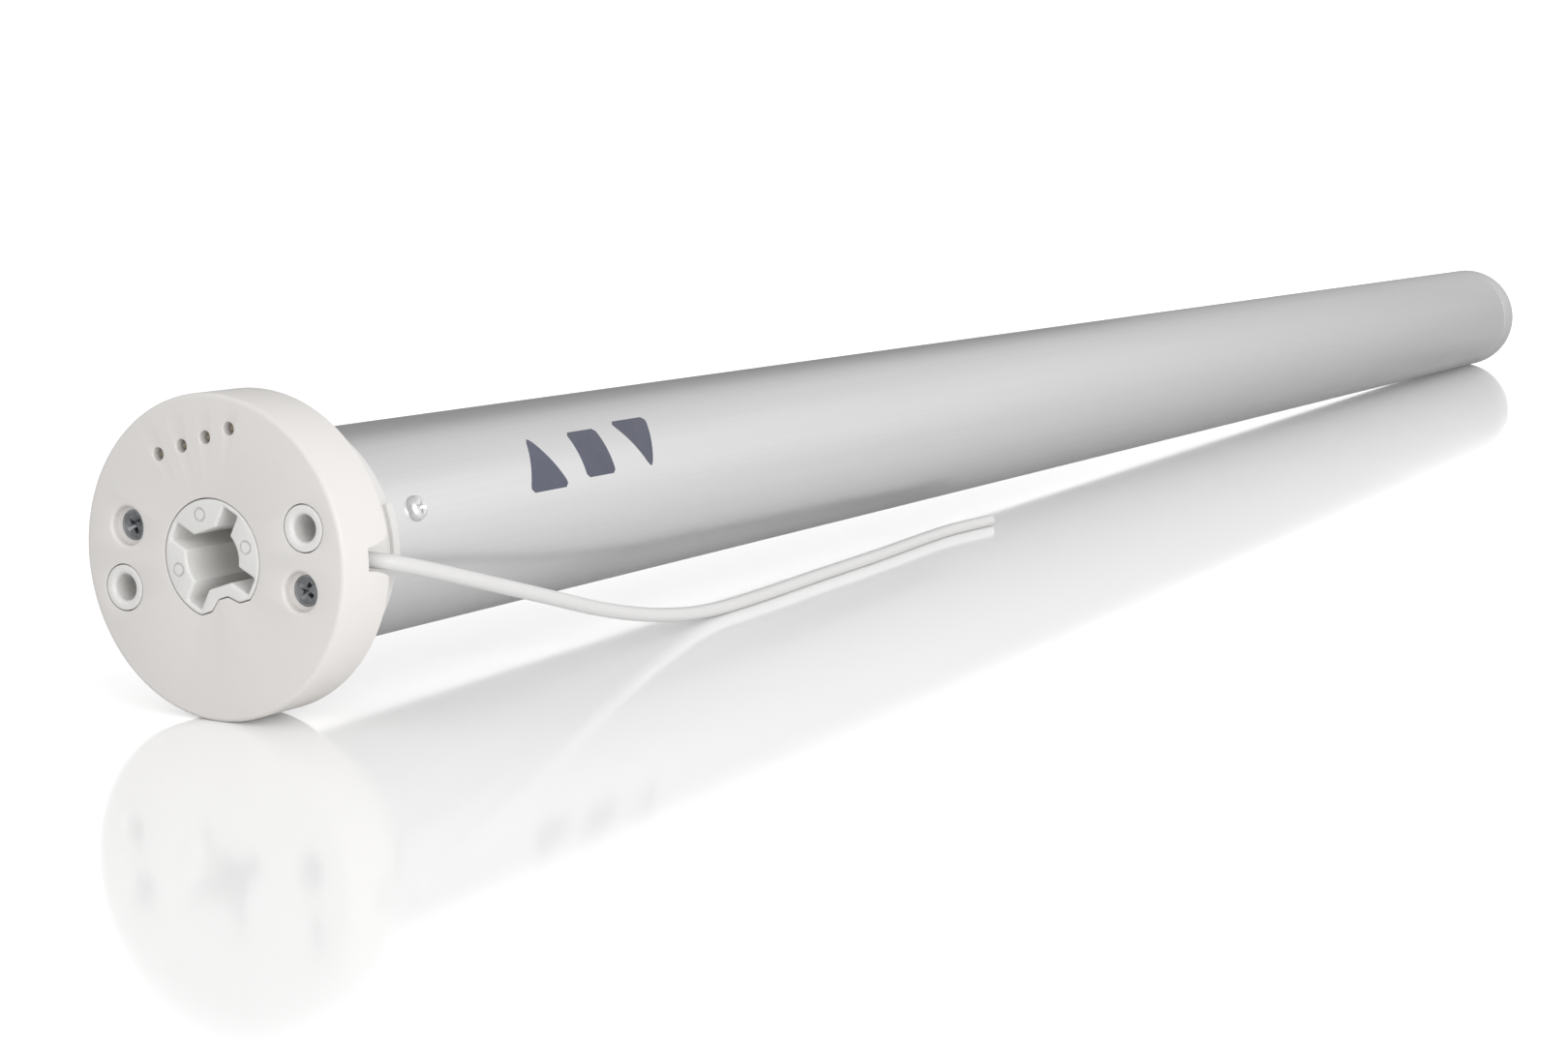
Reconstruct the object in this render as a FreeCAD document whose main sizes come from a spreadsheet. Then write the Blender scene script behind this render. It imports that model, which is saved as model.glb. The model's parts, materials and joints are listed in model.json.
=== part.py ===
import FreeCAD, Part
import math
import os
import re

import Sketcher

# Roller shutter motor. X runs along the motor from the head's outer face to the drive shaft, Z is up.
# Every piece is drawn upright, with the bracket bushes level, and is then turned about X by
# lying_roll, the way the round motor lies. All lengths are in millimetres.

V = FreeCAD.Vector
TURN_X = FreeCAD.Rotation(V(0, 1, 0), 90)
LEVEL = FreeCAD.Rotation(V(1, 0, 0), 0)

# ---------------------------------------------------------------- driving sizes
SIZES = [
    ("lying_roll", -18.5, "how far the motor lies turned about its axis, degrees"),
    ("fit_gap", 0.05, "radial room between fixed pieces"),
    ("run_gap", 0.1, "radial room of a plain running fit"),
    ("bearing_gap", 0.02, "radial room of a shaft in its bearing"),
    # head cover
    ("head_radius", 29.0, "head, outer radius"),
    ("head_depth", 12.8, "head, thickness of the disc"),
    ("face_wall", 3.4, "cover, thickness of the face"),
    ("rim_wall", 2.5, "cover, thickness of the rim"),
    ("edge_round", 0.9, "cover, rounding of the face's edge"),
    ("flange_gap", 0.3, "core flange inside the rim"),
    ("flange_inset", 0.5, "core flange below the rim's rear edge"),
    # star socket
    ("socket_radius", 10.5, "insert, outer radius"),
    ("socket_gap", 0.15, "parting line around the insert"),
    ("socket_floor", 2.5, "insert, floor behind the hole"),
    ("star_depth", 16.0, "drive hole, depth"),
    ("star_bore", 5.85, "drive hole, radius of the side lobes"),
    ("star_flat", 5.0, "drive hole, half height between its flats"),
    ("star_arm_width", 3.3, "drive hole, width of an arm"),
    ("star_arm_reach", 9.55, "drive hole, axis to the flat end of an arm"),
    ("star_bevel", 0.6, "drive hole, bevel of its mouth"),
    ("key_flat", 8.75, "insert, axis to the flat beside the key"),
    ("key_tip", 7.1, "insert, axis to the tip of the key"),
    ("key_tip_width", 2.2, "key, width of its tip"),
    ("key_base_width", 6.7, "key, width of its foot"),
    ("mark_radius", 1.3, "moulding marks, radius"),
    ("mark_offset", 8.0, "moulding marks, distance from the axis"),
    ("mark_depth", 0.2, "moulding marks, depth"),
    # bushes and screws in the face
    ("bush_offset", 21.4, "bracket bushes, distance from the axis"),
    ("bush_radius", 4.1, "bracket bushes, outer radius"),
    ("bush_hole", 2.4, "bracket bushes, radius of the hole"),
    ("bush_length", 8.5, "bracket bushes, length"),
    ("bush_round", 0.9, "bracket bushes, rounding of the mouth"),
    ("bush_gap", 0.12, "parting line around a bush"),
    ("screw_side", 16.97, "face screws, sideways from the axis"),
    ("screw_rise", 10.24, "face screws, above or below the axis"),
    ("screw_well", 3.5, "face screws, radius of the well"),
    ("screw_well_depth", 1.9, "face screws, depth of the well"),
    ("screw_well_bevel", 0.5, "face screws, bevel of the well's mouth"),
    ("screw_head", 2.75, "face screws, head radius"),
    ("screw_cone", 1.2, "face screws, height of the sunk cone"),
    ("screw_shank", 1.5, "face screws, shank radius"),
    ("screw_length", 9.5, "face screws, length"),
    ("slot_width", 0.8, "cross recess, width"),
    # setting contacts
    ("contact_pitch", 5.63, "small holes, spacing in the row"),
    ("contact_rise", 20.45, "small holes, height of the row above the axis"),
    ("contact_shift", -2.96, "small holes, middle of the row sideways"),
    ("contact_hole", 1.2, "small holes, radius"),
    ("contact_pin", 0.5, "contact pins, radius"),
    ("contact_sink", 1.2, "contact pins, depth below the face"),
    ("contact_margin", 1.2, "contact block, past the outer pins"),
    ("contact_half_width", 1.8, "contact block, half width"),
    ("contact_depth", 4.5, "contact block, depth"),
    # lead, its notch and clamp
    ("notch_angle", 196.2, "lead notch, angle round the head, degrees"),
    ("notch_front", 6.8, "lead notch, face to its front wall"),
    ("notch_narrow", 4.0, "lead notch, width at its front"),
    ("notch_wide", 6.6, "lead notch, width at the rim's rear edge"),
    ("lead_radius", 1.45, "lead, radius"),
    ("lead_room", 0.15, "room beside the lead in its channel"),
    ("lead_depth", 8.45, "lead in the head, face to its middle"),
    ("lead_start", 13.6, "lead in the head, axis to its inner end"),
    ("wire_radius", 0.6, "inner wires, radius"),
    ("wire_spread", 0.75, "inner wires, sideways from the lead's middle"),
    ("wire_offset", 12.05, "inner wires, distance from the axis"),
    ("clamp_offset", 15.5, "lead clamp, distance from the axis"),
    ("clamp_width", 3.4, "lead clamp, width along the lead"),
    ("clamp_height", 1.4, "lead clamp, thickness"),
    ("clamp_near", 1.9, "lead clamp, reach on its hooked side"),
    ("clamp_far", 6.2, "lead clamp, reach on its screw side"),
    ("clamp_screw_at", -4.2, "clamp screw, sideways from the lead, away from the bush"),
    ("clamp_screw_head", 1.7, "clamp screw, head radius"),
    ("clamp_screw_shank", 1.0, "clamp screw, shank radius"),
    ("clamp_screw_length", 5.0, "clamp screw, shank length"),
    # crown ring and the core it turns on
    ("neck_step", 0.7, "neck of the core above the tube"),
    ("crown_gap", 0.5, "crown ring, room to the cover"),
    ("crown_length", 9.0, "crown ring, length"),
    ("crown_wall", 2.5, "crown ring, wall"),
    ("crown_key", 0.9, "crown ring, height of its keys"),
    ("crown_key_length", 2.0, "crown ring, length of its keys"),
    ("crown_key_width", 11.3, "crown ring, width of a key"),
    ("crown_key_angle", 190.5, "crown ring, angle of the first key, degrees"),
    ("crown_key_bevel", 0.3, "crown ring, bevels of its keys"),
    ("crown_bevel", 0.5, "crown ring, bevels"),
    ("crown_end_gap", 0.1, "crown ring, room to the tube's end"),
    ("crown_side_gap", 0.15, "crown ring, axial play at the lip"),
    ("lip_height", 0.6, "lip that keeps the crown ring on"),
    ("lip_length", 1.3, "lip that keeps the crown ring on"),
    ("plug_length", 36.0, "core, length inside the tube"),
    ("plug_bore", 8.0, "core, radius of the bore behind the socket"),
    ("seal_at", 24.0, "seal, tube's end to the groove"),
    ("seal_groove", 2.2, "seal, groove width"),
    ("seal_section", 0.8, "seal, radius of its section"),
    # tube and its screws
    ("tube_radius", 20.0, "tube, outer radius"),
    ("tube_wall", 1.0, "tube, wall"),
    ("tube_length", 768.6, "tube, length"),
    ("tube_screw_at", 11.2, "tube screws, tube's end to the screw"),
    ("pan_radius", 2.45, "tube screws, head radius"),
    ("pan_height", 1.5, "tube screws, head height"),
    ("pan_shank", 1.4, "tube screws, shank radius"),
    ("pan_length", 8.0, "tube screws, shank length"),
    # electronics
    ("tray_gap", 3.6, "tray, gap behind the core"),
    ("tray_length", 126.0, "tray, length"),
    ("tray_wall", 1.45, "tray, wall"),
    ("tray_top", -2.0, "tray, height of its edges"),
    ("ledge_width", 3.2, "tray, width of the ledges"),
    ("ledge_height", 2.5, "tray, height of the ledges"),
    ("board_half", 15.6, "board, half width"),
    ("board_level", -6.0, "board, height of its underside"),
    ("board_thick", 1.6, "board, thickness"),
    ("board_length", 120.0, "board, length"),
    ("terminal_length", 12.0, "terminal block, length"),
    ("terminal_height", 7.0, "terminal block, height"),
    ("capacitor_radius", 6.0, "capacitor, radius"),
    ("capacitor_length", 24.0, "capacitor, length"),
    ("radio_length", 24.0, "radio module, length"),
    ("radio_half", 9.0, "radio module, half width"),
    ("radio_height", 2.6, "radio module, height"),
    # battery
    ("carrier_gap", 8.0, "battery carrier, gap behind the tray"),
    ("carrier_end", 3.0, "battery carrier, end wall"),
    ("cell_radius", 13.1, "cell, radius"),
    ("cell_length", 65.5, "cell, length with its button"),
    ("cell_button", 2.0, "cell, height of its button"),
    ("cell_button_radius", 4.0, "cell, radius of its button"),
    ("cell_room", 0.2, "room around a cell"),
    ("sleeve_wall", 1.6, "battery carrier, wall of its sleeve"),
    ("rib_length", 8.0, "battery carrier, length of a rib"),
    # motor
    ("motor_gap", 24.0, "motor, gap behind the battery"),
    ("motor_radius", 17.5, "motor, outer radius"),
    ("motor_cap_length", 8.0, "motor end cap, length"),
    ("motor_cap_wall", 2.0, "motor end cap, wall in front of the bearing"),
    ("motor_length", 72.0, "motor can, length"),
    ("motor_wall", 1.2, "motor can, side wall"),
    ("motor_end_wall", 3.0, "motor can, end wall"),
    ("magnet_thick", 3.8, "magnets, thickness"),
    ("magnet_length", 52.0, "magnets, length"),
    ("magnet_split", 2.0, "magnets, half gap between the pair"),
    ("magnet_at", 8.0, "magnets, can's edge to the magnet"),
    ("air_gap", 0.5, "armature to magnets"),
    ("core_length", 44.0, "armature core, length"),
    ("core_at", 12.0, "armature core, can's edge to the core"),
    ("core_slot", 2.4, "armature core, slot width"),
    ("core_slot_floor", 6.5, "armature core, slot floor radius"),
    ("winding_inset", 1.1, "winding heads, below the core's radius"),
    ("winding_length", 5.0, "winding heads, length"),
    ("shaft_radius", 2.5, "motor shaft, radius"),
    ("commutator_radius", 5.0, "commutator, radius"),
    ("commutator_length", 5.0, "commutator, length"),
    ("brush_gap", 0.03, "brush to commutator"),
    ("brush_length", 6.0, "brush, length"),
    ("brush_half", 2.0, "brush, half width"),
    ("brush_depth", 4.5, "brush, along the shaft"),
    ("bearing_radius", 7.0, "motor bearings, outer radius"),
    ("bearing_width", 5.0, "motor bearings, width"),
    ("damper_length", 22.0, "rubber sleeves, length"),
    ("damper_at", 6.0, "rubber sleeves, from the motor's ends"),
    # brake
    ("brake_gap", 4.0, "brake, gap behind the motor"),
    ("brake_length", 14.0, "brake drum, length"),
    ("hub_radius", 8.8, "brake hub, radius"),
    ("hub_inset", 1.0, "brake hub, inside the drum's ends"),
    ("band_wall", 1.7, "brake band, wall"),
    ("band_inset", 1.0, "brake band, inside the hub's ends"),
    ("band_split", 3.0, "brake band, width of its split"),
    ("drum_gap", 0.1, "brake band to drum"),
    # gears
    ("gear_module", 0.75, "gears, module"),
    ("sun_teeth", 12, "teeth of a sun gear"),
    ("planet_teeth", 15, "teeth of a planet gear"),
    ("addendum", 0.9, "gears, tooth height above the pitch circle over the module"),
    ("dedendum", 1.25, "gears, tooth depth below the pitch circle over the module"),
    ("ring_addendum", 0.667, "ring gear, tooth height inside the pitch circle over the module"),
    ("tooth_thinning", 0.05, "gears, taken off each flank for backlash"),
    ("gear_gap", 4.0, "gearbox, gap behind the brake"),
    ("gear_inset", 2.0, "gearbox, ring's end to the first planets"),
    ("face_1", 12.0, "first stage, face width"),
    ("face_2", 14.0, "second stage, face width"),
    ("face_3", 18.0, "third stage, face width"),
    ("face_gap", 1.0, "side play between planets and plates"),
    ("sun_lead", 2.0, "sun gear, reach before its planets"),
    ("plate_thick", 4.0, "planet carriers, plate"),
    ("plate_gap", 0.85, "planet carriers, plate inside the ring's teeth"),
    ("pin_radius", 2.0, "planet pins, radius"),
    ("gear_tail", 12.0, "ring gear, past the last planets"),
    ("hub_length", 10.0, "last carrier, length of its hub"),
    ("carrier_hub_radius", 9.0, "last carrier, radius of its hub"),
    ("hex_flat", 4.9, "shaft's hexagon, half across its flats"),
    # output
    ("stem_radius", 5.7, "drive shaft, radius inside the dome and of its driving end"),
    ("collar_step", 0.3, "drive shaft, height of the collar that centres the drive wheel"),
    ("collar_gap", 0.5, "drive shaft, dome to the collar"),
    ("collar_length", 5.5, "drive shaft, length of the collar"),
    ("spindle_reach", 22.0, "drive shaft, past the dome"),
    ("spindle_bevel", 0.6, "drive shaft, bevel of its end"),
    ("spindle_flat", 4.5, "drive shaft, half across its flats"),
    ("spindle_flat_length", 16.0, "drive shaft, length of its flats"),
    ("clip_gap", 0.4, "retaining ring, clear of the dome's guide"),
    ("clip_width", 1.1, "retaining ring, thickness"),
    ("clip_depth", 0.8, "retaining ring, groove depth"),
    ("clip_wall", 2.4, "retaining ring, wall"),
    ("clip_split", 2.5, "retaining ring, width of its split"),
    ("dome_depth", 17.0, "dome, length past the tube"),
    ("dome_round", 8.5, "dome, rounding"),
    ("dome_land", 0.4, "dome, flat left between its rounding and the bearing's seat"),
    ("spigot_length", 91.0, "dome, length inside the tube"),
    ("spigot_room", 1.3, "dome, room around the shaft"),
    ("guide_length", 12.0, "dome, length of its inner shaft guide"),
    ("guide_wall", 2.6, "dome, wall of the tube around the shaft"),
    ("dome_wall", 2.6, "dome, wall of its spigot"),
    ("dome_web", 6.0, "dome, tube's end to the hollow between its two walls"),
    ("seat_wall", 5.3, "output bearing, wall"),
    ("seat_width", 10.0, "output bearing, width"),
    ("seat_sink", 1.0, "output bearing, below the dome's face"),
]

# ---------------------------------------------------------------- places worked out from the sizes
PLACES = [
    ("cup_radius", "head_radius - rim_wall"),
    ("flange_radius", "cup_radius - flange_gap"),
    ("flange_rear", "head_depth - flange_inset"),
    ("socket_length", "star_depth + socket_floor"),
    ("socket_hole", "socket_radius + socket_gap"),
    ("neck_radius", "tube_radius + neck_step"),
    ("crown_bore", "neck_radius + run_gap"),
    ("crown_radius", "crown_bore + crown_wall"),
    ("crown_front", "head_depth + crown_gap"),
    ("crown_end", "crown_front + crown_length"),
    ("tube_start", "crown_end + crown_end_gap"),
    ("lip_front", "tube_start - lip_length"),
    ("lip_radius", "neck_radius + lip_height"),
    ("tube_bore", "tube_radius - tube_wall"),
    ("plug_radius", "tube_bore - fit_gap"),
    ("plug_end", "tube_start + plug_length"),
    ("groove_front", "tube_start + seal_at"),
    ("groove_rear", "groove_front + seal_groove"),
    ("groove_radius", "tube_bore - 2 * seal_section"),
    ("tube_end", "tube_start + tube_length"),
    ("clamp_front", "lead_depth - lead_radius - clamp_height"),
    ("clamp_rear", "lead_depth - lead_radius"),
    ("tray_start", "plug_end + tray_gap"),
    ("tray_end", "tray_start + tray_length"),
    ("tray_bore", "plug_radius - tray_wall"),
    ("board_start", "tray_start + (tray_length - board_length) / 2"),
    ("board_top", "board_level + board_thick"),
    ("carrier_start", "tray_end + carrier_gap"),
    ("cells_start", "carrier_start + carrier_end"),
    ("cells_end", "cells_start + 4 * cell_length"),
    ("carrier_finish", "cells_end + carrier_end"),
    ("motor_start", "carrier_finish + motor_gap"),
    ("can_start", "motor_start + motor_cap_length"),
    ("can_end", "can_start + motor_length"),
    ("can_bore", "motor_radius - motor_wall"),
    ("magnet_bore", "can_bore - magnet_thick"),
    ("core_radius", "magnet_bore - air_gap"),
    ("core_start", "can_start + core_at"),
    ("core_end", "core_start + core_length"),
    ("drum_start", "can_end + brake_gap"),
    ("drum_end", "drum_start + brake_length"),
    ("band_radius", "hub_radius + band_wall"),
    ("ring_start", "drum_end + gear_gap"),
    ("planets_1", "ring_start + gear_inset"),
    ("plate_1", "planets_1 + face_1 + face_gap"),
    ("planets_2", "plate_1 + plate_thick + sun_lead"),
    ("plate_2", "planets_2 + face_2 + face_gap"),
    ("planets_3", "plate_2 + plate_thick + sun_lead"),
    ("plate_3", "planets_3 + face_3 + face_gap"),
    ("hub_end", "plate_3 + plate_thick + hub_length"),
    ("ring_end", "planets_3 + face_3 + gear_tail"),
    ("sun_pitch", "gear_module * sun_teeth / 2"),
    ("planet_pitch", "gear_module * planet_teeth / 2"),
    ("axle_offset", "sun_pitch + planet_pitch"),
    ("ring_pitch", "sun_pitch + 2 * planet_pitch"),
    ("plate_radius", "ring_pitch - ring_addendum * gear_module - plate_gap"),
    ("dome_end", "tube_end + dome_depth"),
    ("spigot_start", "tube_end - spigot_length"),
    ("seat_rear", "dome_end - seat_sink"),
    ("seat_front", "seat_rear - seat_width"),
    ("spindle_end", "dome_end + spindle_reach"),
    ("collar_radius", "stem_radius + collar_step"),
    ("spigot_bore", "stem_radius + spigot_room"),
    ("guide_radius", "spigot_bore + guide_wall"),
    ("seat_radius", "stem_radius + seat_wall"),
    ("dome_rounding", "min(dome_round; tube_radius - seat_radius - dome_land)"),
    ("clip_rear", "spigot_start - clip_gap"),
    ("clip_front", "clip_rear - clip_width"),
    ("clip_bore", "stem_radius - clip_depth"),
]

PRESSURE_ANGLE = math.radians(20)
STAGES = 3
PLANETS = "abc"
CELLS = 4
CONTACTS = 4
CROWN_KEYS = 3

doc = FreeCAD.newDocument("shutter_motor")


def make_sheet(name, rows):
    """One sheet of named cells: column A the name, B the value or formula, C a note."""
    sheet = doc.addObject("Spreadsheet::Sheet", name)
    for number, row in enumerate(rows, start=1):
        sheet.set("A%d" % number, row[0])
        sheet.set("B%d" % number, str(row[1]))
        sheet.setAlias("B%d" % number, row[0])
        if len(row) > 2:
            sheet.set("C%d" % number, row[2])
    return sheet


SHEET_OF = {row[0]: "Sizes" for row in SIZES}


def formula(text):
    """Write each alias in an expression with the name of its sheet."""
    return re.sub(r"[a-z][a-z_0-9]*", lambda m: ("%s.%s" % (SHEET_OF[m.group()], m.group())
                                                if m.group() in SHEET_OF else m.group()), text)


sizes = make_sheet("Sizes", SIZES)
place_rows = []
for alias, text in PLACES:
    place_rows.append((alias, "=" + formula(text)))
    SHEET_OF[alias] = "Places"
places = make_sheet("Places", place_rows)
doc.recompute()


def value(text):
    """The number that an expression of aliases gives now."""
    return float(sizes.evalExpression(formula(text)))


def bind(item, target, text):
    item.setExpression(target, formula(text))


# ---------------------------------------------------------------- ways of making a piece
def origin_plane(body, role):
    return [item for item in body.Origin.OriginFeatures if item.Role == role][0]


def outline_sketch(body, role, corners):
    """A closed outline of straight lines, each corner held by two expressions."""
    sketch = body.newObject("Sketcher::SketchObject", body.Name + "_outline")
    sketch.AttachmentSupport = (origin_plane(body, role), [""])
    sketch.MapMode = "FlatFace"
    points = [V(value(across), value(up), 0) for across, up in corners]
    count = len(points)
    for index in range(count):
        sketch.addGeometry(Part.LineSegment(points[index], points[(index + 1) % count]), False)
    for index in range(count):
        sketch.addConstraint(Sketcher.Constraint("Coincident", index, 2, (index + 1) % count, 1))
    for index, corner in enumerate(corners):
        for kind, text, number, axis in (("DistanceX", corner[0], points[index].x, -2),
                                         ("DistanceY", corner[1], points[index].y, -1)):
            if text == "0":
                sketch.addConstraint(Sketcher.Constraint("PointOnObject", index, 1, axis))
                continue
            held = sketch.addConstraint(Sketcher.Constraint(kind, -1, 1, index, 1, number))
            bind(sketch, "Constraints[%d]" % held, text)
    return sketch


def turned(name, corners):
    """A body turned about X. Corners are (place along X, radius)."""
    body = doc.addObject("PartDesign::Body", name)
    sketch = outline_sketch(body, "XZ_Plane", corners)
    feature = body.newObject("PartDesign::Revolution", name + "_turning")
    feature.Profile = sketch
    feature.ReferenceAxis = (sketch, ["H_Axis"])
    feature.Angle = 360
    return body


def ring(name, start, end, outer, inner):
    return turned(name, [(start, inner), (start, outer), (end, outer), (end, inner)])


def prism(name, corners, start, length, angle=0.0):
    """A body of one section, corners (across, up), that runs along X from start."""
    body = doc.addObject("PartDesign::Body", name)
    sketch = outline_sketch(body, "YZ_Plane", corners)
    feature = body.newObject("PartDesign::Pad", name + "_pad")
    feature.Profile = sketch
    bind(feature, "Length", length)
    body.Placement = FreeCAD.Placement(V(value(start), 0, 0), FreeCAD.Rotation(V(1, 0, 0), angle))
    bind(body, "Placement.Base.x", start)
    return body


def block(name, start, length, left, right, low, high, angle=0.0):
    corners = [(left, low), (right, low), (right, high), (left, high)]
    return prism(name, corners, start, length, angle)


def rod(name, start, length, radius, across="0", up="0"):
    """A cylinder along X."""
    item = doc.addObject("Part::Cylinder", name)
    bind(item, "Radius", radius)
    bind(item, "Height", length)
    item.Placement = FreeCAD.Placement(V(value(start), value(across), value(up)), TURN_X)
    for axis, text in (("x", start), ("y", across), ("z", up)):
        bind(item, "Placement.Base." + axis, text)
    return item


def joined(name, pieces):
    item = doc.addObject("Part::MultiFuse", name)
    item.Shapes = pieces
    item.Refine = True
    return item


def without(name, base, tools):
    """The base with every tool cut out of it."""
    tool = tools[0] if len(tools) == 1 else joined(name + "_tools", tools)
    item = doc.addObject("Part::Cut", name)
    item.Base = base
    item.Tool = tool
    item.Refine = True
    return item


def shared(name, base, tool):
    item = doc.addObject("Part::Common", name)
    item.Base = base
    item.Tool = tool
    return item


def gathered(name, pieces):
    """Identical loose pieces kept as separate solids of one node."""
    item = doc.addObject("Part::Compound", name)
    item.Links = pieces
    return item


def rounded(name, base, kind, amount, wanted):
    """Round or bevel the edges of base that the test picks."""
    doc.recompute()
    picked = [number for number, edge in enumerate(base.Shape.Edges, start=1) if wanted(edge)]
    item = doc.addObject("Part::" + kind, name)
    item.Base = base
    item.Edges = [(number, value(amount), value(amount)) for number in picked]
    return item


def circle_at(edge, place, radius):
    """Whether an edge is the full circle about X of this radius at this place along X."""
    curve = edge.Curve
    if curve.TypeId != "Part::GeomCircle":
        return False
    return abs(curve.Center.x - place) < 1e-4 and abs(curve.Radius - radius) < 1e-4


def polar(radius, angle):
    """Expressions for a point at this distance and angle from the axis."""
    return "%s * cos(%s)" % (radius, angle), "%s * sin(%s)" % (radius, angle)


PARTS = []


def keep(label, item, angle=0.0):
    """Name a finished sub-part and lay it the way the motor lies."""
    item.Label = label
    own = item.Placement
    if angle:
        own = FreeCAD.Placement(V(), FreeCAD.Rotation(V(1, 0, 0), angle)).multiply(own)
    roll = FreeCAD.Placement(V(), FreeCAD.Rotation(V(1, 0, 0), value("lying_roll")))
    for path, unused in list(item.ExpressionEngine):
        if "Placement" in path:
            item.setExpression(path, None)
    item.Placement = roll.multiply(own)
    PARTS.append(item)
    return item


def gear_outline(teeth, tip, root, half_width):
    """Closed wire of an involute gear about the origin, tooth 0 pointing along Y."""
    pitch_radius = value("gear_module") * teeth / 2
    base_radius = pitch_radius * math.cos(PRESSURE_ANGLE)
    start = max(root, base_radius)

    def half_angle(radius):
        turn = math.acos(min(1.0, base_radius / radius))
        pitch_part = half_width / pitch_radius + math.tan(PRESSURE_ANGLE) - PRESSURE_ANGLE
        return pitch_part - (math.tan(turn) - turn)

    def point(radius, angle):
        return V(0, radius * math.cos(angle), radius * math.sin(angle))

    edges = []
    first = last = None
    for tooth in range(teeth):
        middle = 2 * math.pi * tooth / teeth
        flanks = []
        for side in (-1, 1):
            radii = (start, (start + tip) / 2, tip)
            flanks.append([point(radius, middle + side * half_angle(radius)) for radius in radii])
        low, high = flanks
        foot_low = point(root, middle - half_angle(start))
        foot_high = point(root, middle + half_angle(start))
        if last is not None:
            edges.append(Part.LineSegment(last, foot_low).toShape())
        if first is None:
            first = foot_low
        if root < start:
            edges.append(Part.LineSegment(foot_low, low[0]).toShape())
        edges.append(Part.Arc(*low).toShape())
        edges.append(Part.LineSegment(low[2], high[2]).toShape())
        edges.append(Part.Arc(high[2], high[1], high[0]).toShape())
        if root < start:
            edges.append(Part.LineSegment(high[0], foot_high).toShape())
        last = foot_high
    edges.append(Part.LineSegment(last, first).toShape())
    return Part.Wire(edges)


def gear_solid(teeth, start, length):
    """An outer gear along X from start."""
    pitch_radius = value("gear_module") * teeth / 2
    tip = pitch_radius + value("addendum * gear_module")
    root = pitch_radius - value("dedendum * gear_module")
    half_width = math.pi * value("gear_module") / 4 - value("tooth_thinning")
    solid = Part.Face(gear_outline(teeth, tip, root, half_width)).extrude(V(length, 0, 0))
    solid.translate(V(start, 0, 0))
    return solid


def solid_feature(name, shape):
    item = doc.addObject("Part::Feature", name)
    item.Shape = shape
    return item


def cylinder(start, length, radius, across=0.0, up=0.0):
    return Part.makeCylinder(radius, length, V(start, across, up), V(1, 0, 0))


def bent_path(points):
    """Straight runs joined by tangent arcs. Returns the wire and the radius at each point."""
    edges = []
    radii = []
    here = points[0]
    for before, corner, after in zip(points, points[1:], points[2:]):
        into = corner - before
        out = after - corner
        half_turn = into.getAngle(out) / 2
        cut = 0.45 * min(into.Length, out.Length)
        radii.append(cut / math.tan(half_turn))
        into.normalize()
        out.normalize()
        first = corner - into * cut
        last = corner + out * cut
        bisector = out - into
        bisector.normalize()
        drop = radii[-1] * (1 / math.cos(half_turn) - 1)
        middle = corner + bisector * drop
        edges.append(Part.LineSegment(here, first).toShape())
        edges.append(Part.Arc(first, middle, last).toShape())
        here = last
    edges.append(Part.LineSegment(here, points[-1]).toShape())
    return Part.Wire(edges), radii


def tube_along(points, radius):
    wire, radii = bent_path(points)
    first_run = points[1] - points[0]
    section = Part.Wire(Part.makeCircle(radius, points[0], first_run))
    solid = wire.makePipeShell([section], True, False)
    expected = math.pi * radius ** 2 * wire.Length
    if abs(solid.Volume - expected) > 0.01 * expected:
        raise ValueError("swept volume %.1f, expected %.1f" % (solid.Volume, expected))
    return solid, radii


# ---------------------------------------------------------------- head
def key_block(name, gap, start, length):
    """What the round insert lacks at its bottom: the flat, less the notch for the key."""
    flat = "-(key_flat + %s)" % gap
    tip = "-(key_tip + %s)" % gap
    foot = "key_base_width / 2 - %s" % gap
    point = "key_tip_width / 2 - %s" % gap
    low = "-(socket_radius + 2)"
    side = "socket_radius + 2"
    corners = [("-(%s)" % side, low), (side, low), (side, flat), (foot, flat), (point, tip),
               ("-(%s)" % point, tip), ("-(%s)" % foot, flat), ("-(%s)" % side, flat)]
    return prism(name, corners, start, length)


def star_hole():
    """The drive hole: a bore with flats above and below, and four arms on the diagonals."""
    bore = shared("star_bore_flats",
                  rod("star_bore_round", "-1", "star_depth + 1", "star_bore"),
                  block("star_bore_slab", "-2", "star_depth + 3",
                        "-socket_radius", "socket_radius", "-star_flat", "star_flat"))
    arms = [block("star_arm_%d" % number, "-1", "star_depth + 1", "-star_arm_reach",
                  "star_arm_reach", "-star_arm_width / 2", "star_arm_width / 2", angle)
            for number, angle in enumerate((45, 135), start=1)]
    return [bore] + arms


def star_socket():
    blank = rod("socket_blank", "0", "socket_length", "socket_radius")
    tools = star_hole()
    tools.append(key_block("socket_key", "0", "-1", "socket_length + 2"))
    cut = without("socket_cut", blank, tools)
    reach = value("star_arm_reach") * 1.05
    socket = rounded("socket_bevelled", cut, "Chamfer", "star_bevel",
                     lambda edge: edge.BoundBox.XMax < 1e-4
                     and max(math.hypot(v.Y, v.Z) for v in edge.Vertexes) < reach
                     and min(v.Z for v in edge.Vertexes) > -value("key_tip") - 0.01
                     and edge.Length < 3 * value("star_bore"))
    marks = []
    for number, angle in enumerate((0, 90, 180), start=1):
        across, up = polar("mark_offset", "%d" % angle)
        marks.append(rod("mark_%d" % number, "-1", "1 + mark_depth", "mark_radius", across, up))
    keep("star_socket", without("socket_done", socket, marks))


def face_holes(prefix, start, length, radius):
    """Two tools for the holes of the face screws."""
    return [rod("%s_%d" % (prefix, sign), start, length, radius,
                "%d * screw_side" % sign, "%d * screw_rise" % sign) for sign in (1, -1)]


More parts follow.
